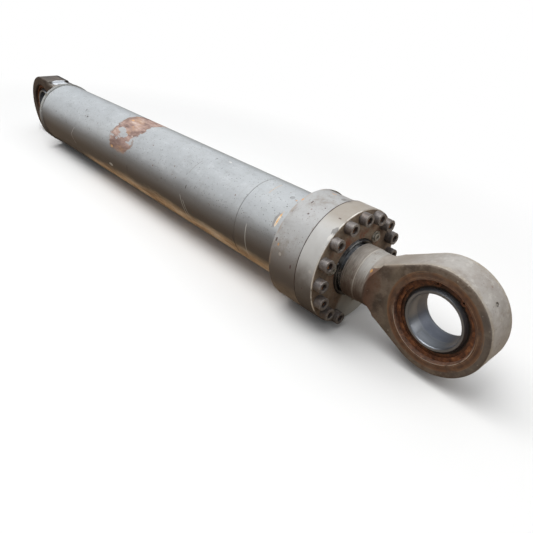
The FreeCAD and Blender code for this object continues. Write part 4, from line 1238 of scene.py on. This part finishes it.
def white_for_camera(tree, shown, lit):
    """Mixes a shown surface and a lit one by the kind of ray that sees it."""
    path = add_node(tree, "LightPath")
    seen = add_node(tree, "Math", [path.outputs["Is Camera Ray"],
                                   path.outputs["Is Transmission Ray"]], operation="MAXIMUM")
    return add_node(tree, "MixShader",
                    [seen.outputs[0], lit.outputs[0], shown.outputs[0]]).outputs[0]


def make_world():
    """Soft sky: bright above, dimmer towards the ground, and white where the camera sees it."""
    world = bpy.data.worlds.new("world")
    scene.world = world
    tree = empty_tree(world)
    place = add_node(tree, "TexCoord")
    parts = add_node(tree, "SeparateXYZ", [place.outputs["Generated"]])
    height = add_node(tree, "MapRange", {"Value": parts.outputs[2], "From Min": -1.0})
    sky = add_node(tree, "ValToRGB", [height.outputs[0]], stops=[
        (0.0, (0.12, 0.11, 0.10, 1)), (0.5, (0.18, 0.175, 0.17, 1)),
        (0.72, (0.4, 0.41, 0.43, 1)), (1.0, (1.25, 1.28, 1.32, 1))])
    lit = add_node(tree, "Background", {"Color": sky.outputs[0], "Strength": 0.75})
    shown = add_node(tree, "Background", {"Color": (1, 1, 1, 1)})
    add_node(tree, "OutputWorld", [white_for_camera(tree, shown, lit)])


def make_lamp(name, place, target, size, power, colour):
    """Square soft lamp that points at a place."""
    data = bpy.data.lights.new(name, "AREA")
    data.shape = "RECTANGLE"
    data.size, data.size_y = size
    data.energy = power
    data.color = colour
    lamp = in_scene(name, data)
    lamp.location = place
    lamp.rotation_euler = (Vector(target) - Vector(place)).to_track_quat("-Z", "Y").to_euler()


def make_floor():
    """Pale floor under the collar and the base eye, fading to white far from the cylinder."""
    contact = Vector((COLLAR_BACK, 0.0, -COLLAR_R))
    slope = math.atan2(COLLAR_R - EYE_R, COLLAR_BACK)
    far = 60.0
    mesh = prism("floor", [(-far, -far), (far, -far), (far, far), (-far, far)], -0.02, 0.0, "XY")
    floor = in_scene("floor", mesh)
    floor.matrix_world = Matrix.Translation(contact) @ Matrix.Rotation(slope, 4, "Y")
    material = bpy.data.materials.new("floor")
    tree = empty_tree(material)
    lit = add_node(tree, "BsdfDiffuse", {"Color": srgb(146, 131, 114)})
    pale = add_node(tree, "BsdfDiffuse", {"Color": srgb(230, 229, 227)})
    white = add_node(tree, "Emission")
    place = add_node(tree, "TexCoord")
    oval = add_node(tree, "Mapping", {
        "Vector": place.outputs["Object"], "Location": (0.5, 0.0, 0.0),
        "Scale": (0.62, 1.0, 1.0)})
    length = add_node(tree, "VectorMath", [oval.outputs[0]], operation="LENGTH")
    fade = add_node(tree, "MapRange", {"Value": length.outputs["Value"], "From Min": 0.75,
                                       "From Max": 1.6}, interpolation_type="SMOOTHSTEP")
    shown = add_node(tree, "MixShader", [fade.outputs[0], pale.outputs[0], white.outputs[0]])
    add_node(tree, "OutputMaterial", [white_for_camera(tree, shown, lit)])
    mesh.materials.append(material)


scene.view_settings.view_transform = "Standard"

make_camera()
make_world()
make_floor()
make_lamp("sky_panel", (0.9, -1.0, 3.4), (1.2, 0.0, 0.0), (4.2, 2.2), 130.0, (0.985, 0.992, 1.0))
make_lamp("right_panel", (4.2, 1.2, 1.6), (2.2, 0.0, 0.0), (1.6, 1.6), 16.0, (1.0, 0.98, 0.95))

finishes = {
    "barrel_paint": barrel_paint(),
    "gland_paint": flange_paint(),
    "forging_paint": forging_paint("rod_eye_paint", ROD_PIN, 1),
    "ball_steel": polished_ring(),
    "bearing_steel": bearing_race(),
    "spring_steel": rusty_spring(),
    "screw_steel": screw_steel(),
    "zinc_steel": zinc_steel(),
    "rod_chrome": chrome(),
    "seal_rubber": rubber(),
    "seal_plastic": resin("seal_plastic", (92, 70, 40), (120, 94, 58)),
    "guide_plastic": resin("guide_plastic", (84, 52, 30), (112, 72, 42)),
    "turned_steel": turned_steel(),
}
base_paint = forging_paint("base_eye_paint", 0.0, -1)

finish_nodes(finishes)
make_barrel(finishes["barrel_paint"])
make_gland(finishes["gland_paint"])
make_screws(finishes["screw_steel"], finishes["zinc_steel"], socket_dirt())
make_wiper(finishes["seal_rubber"])
make_rod(finishes["rod_chrome"])
make_rod_eye(finishes["forging_paint"])
make_base_eye(base_paint)
make_bearings(finishes["ball_steel"], finishes["bearing_steel"])
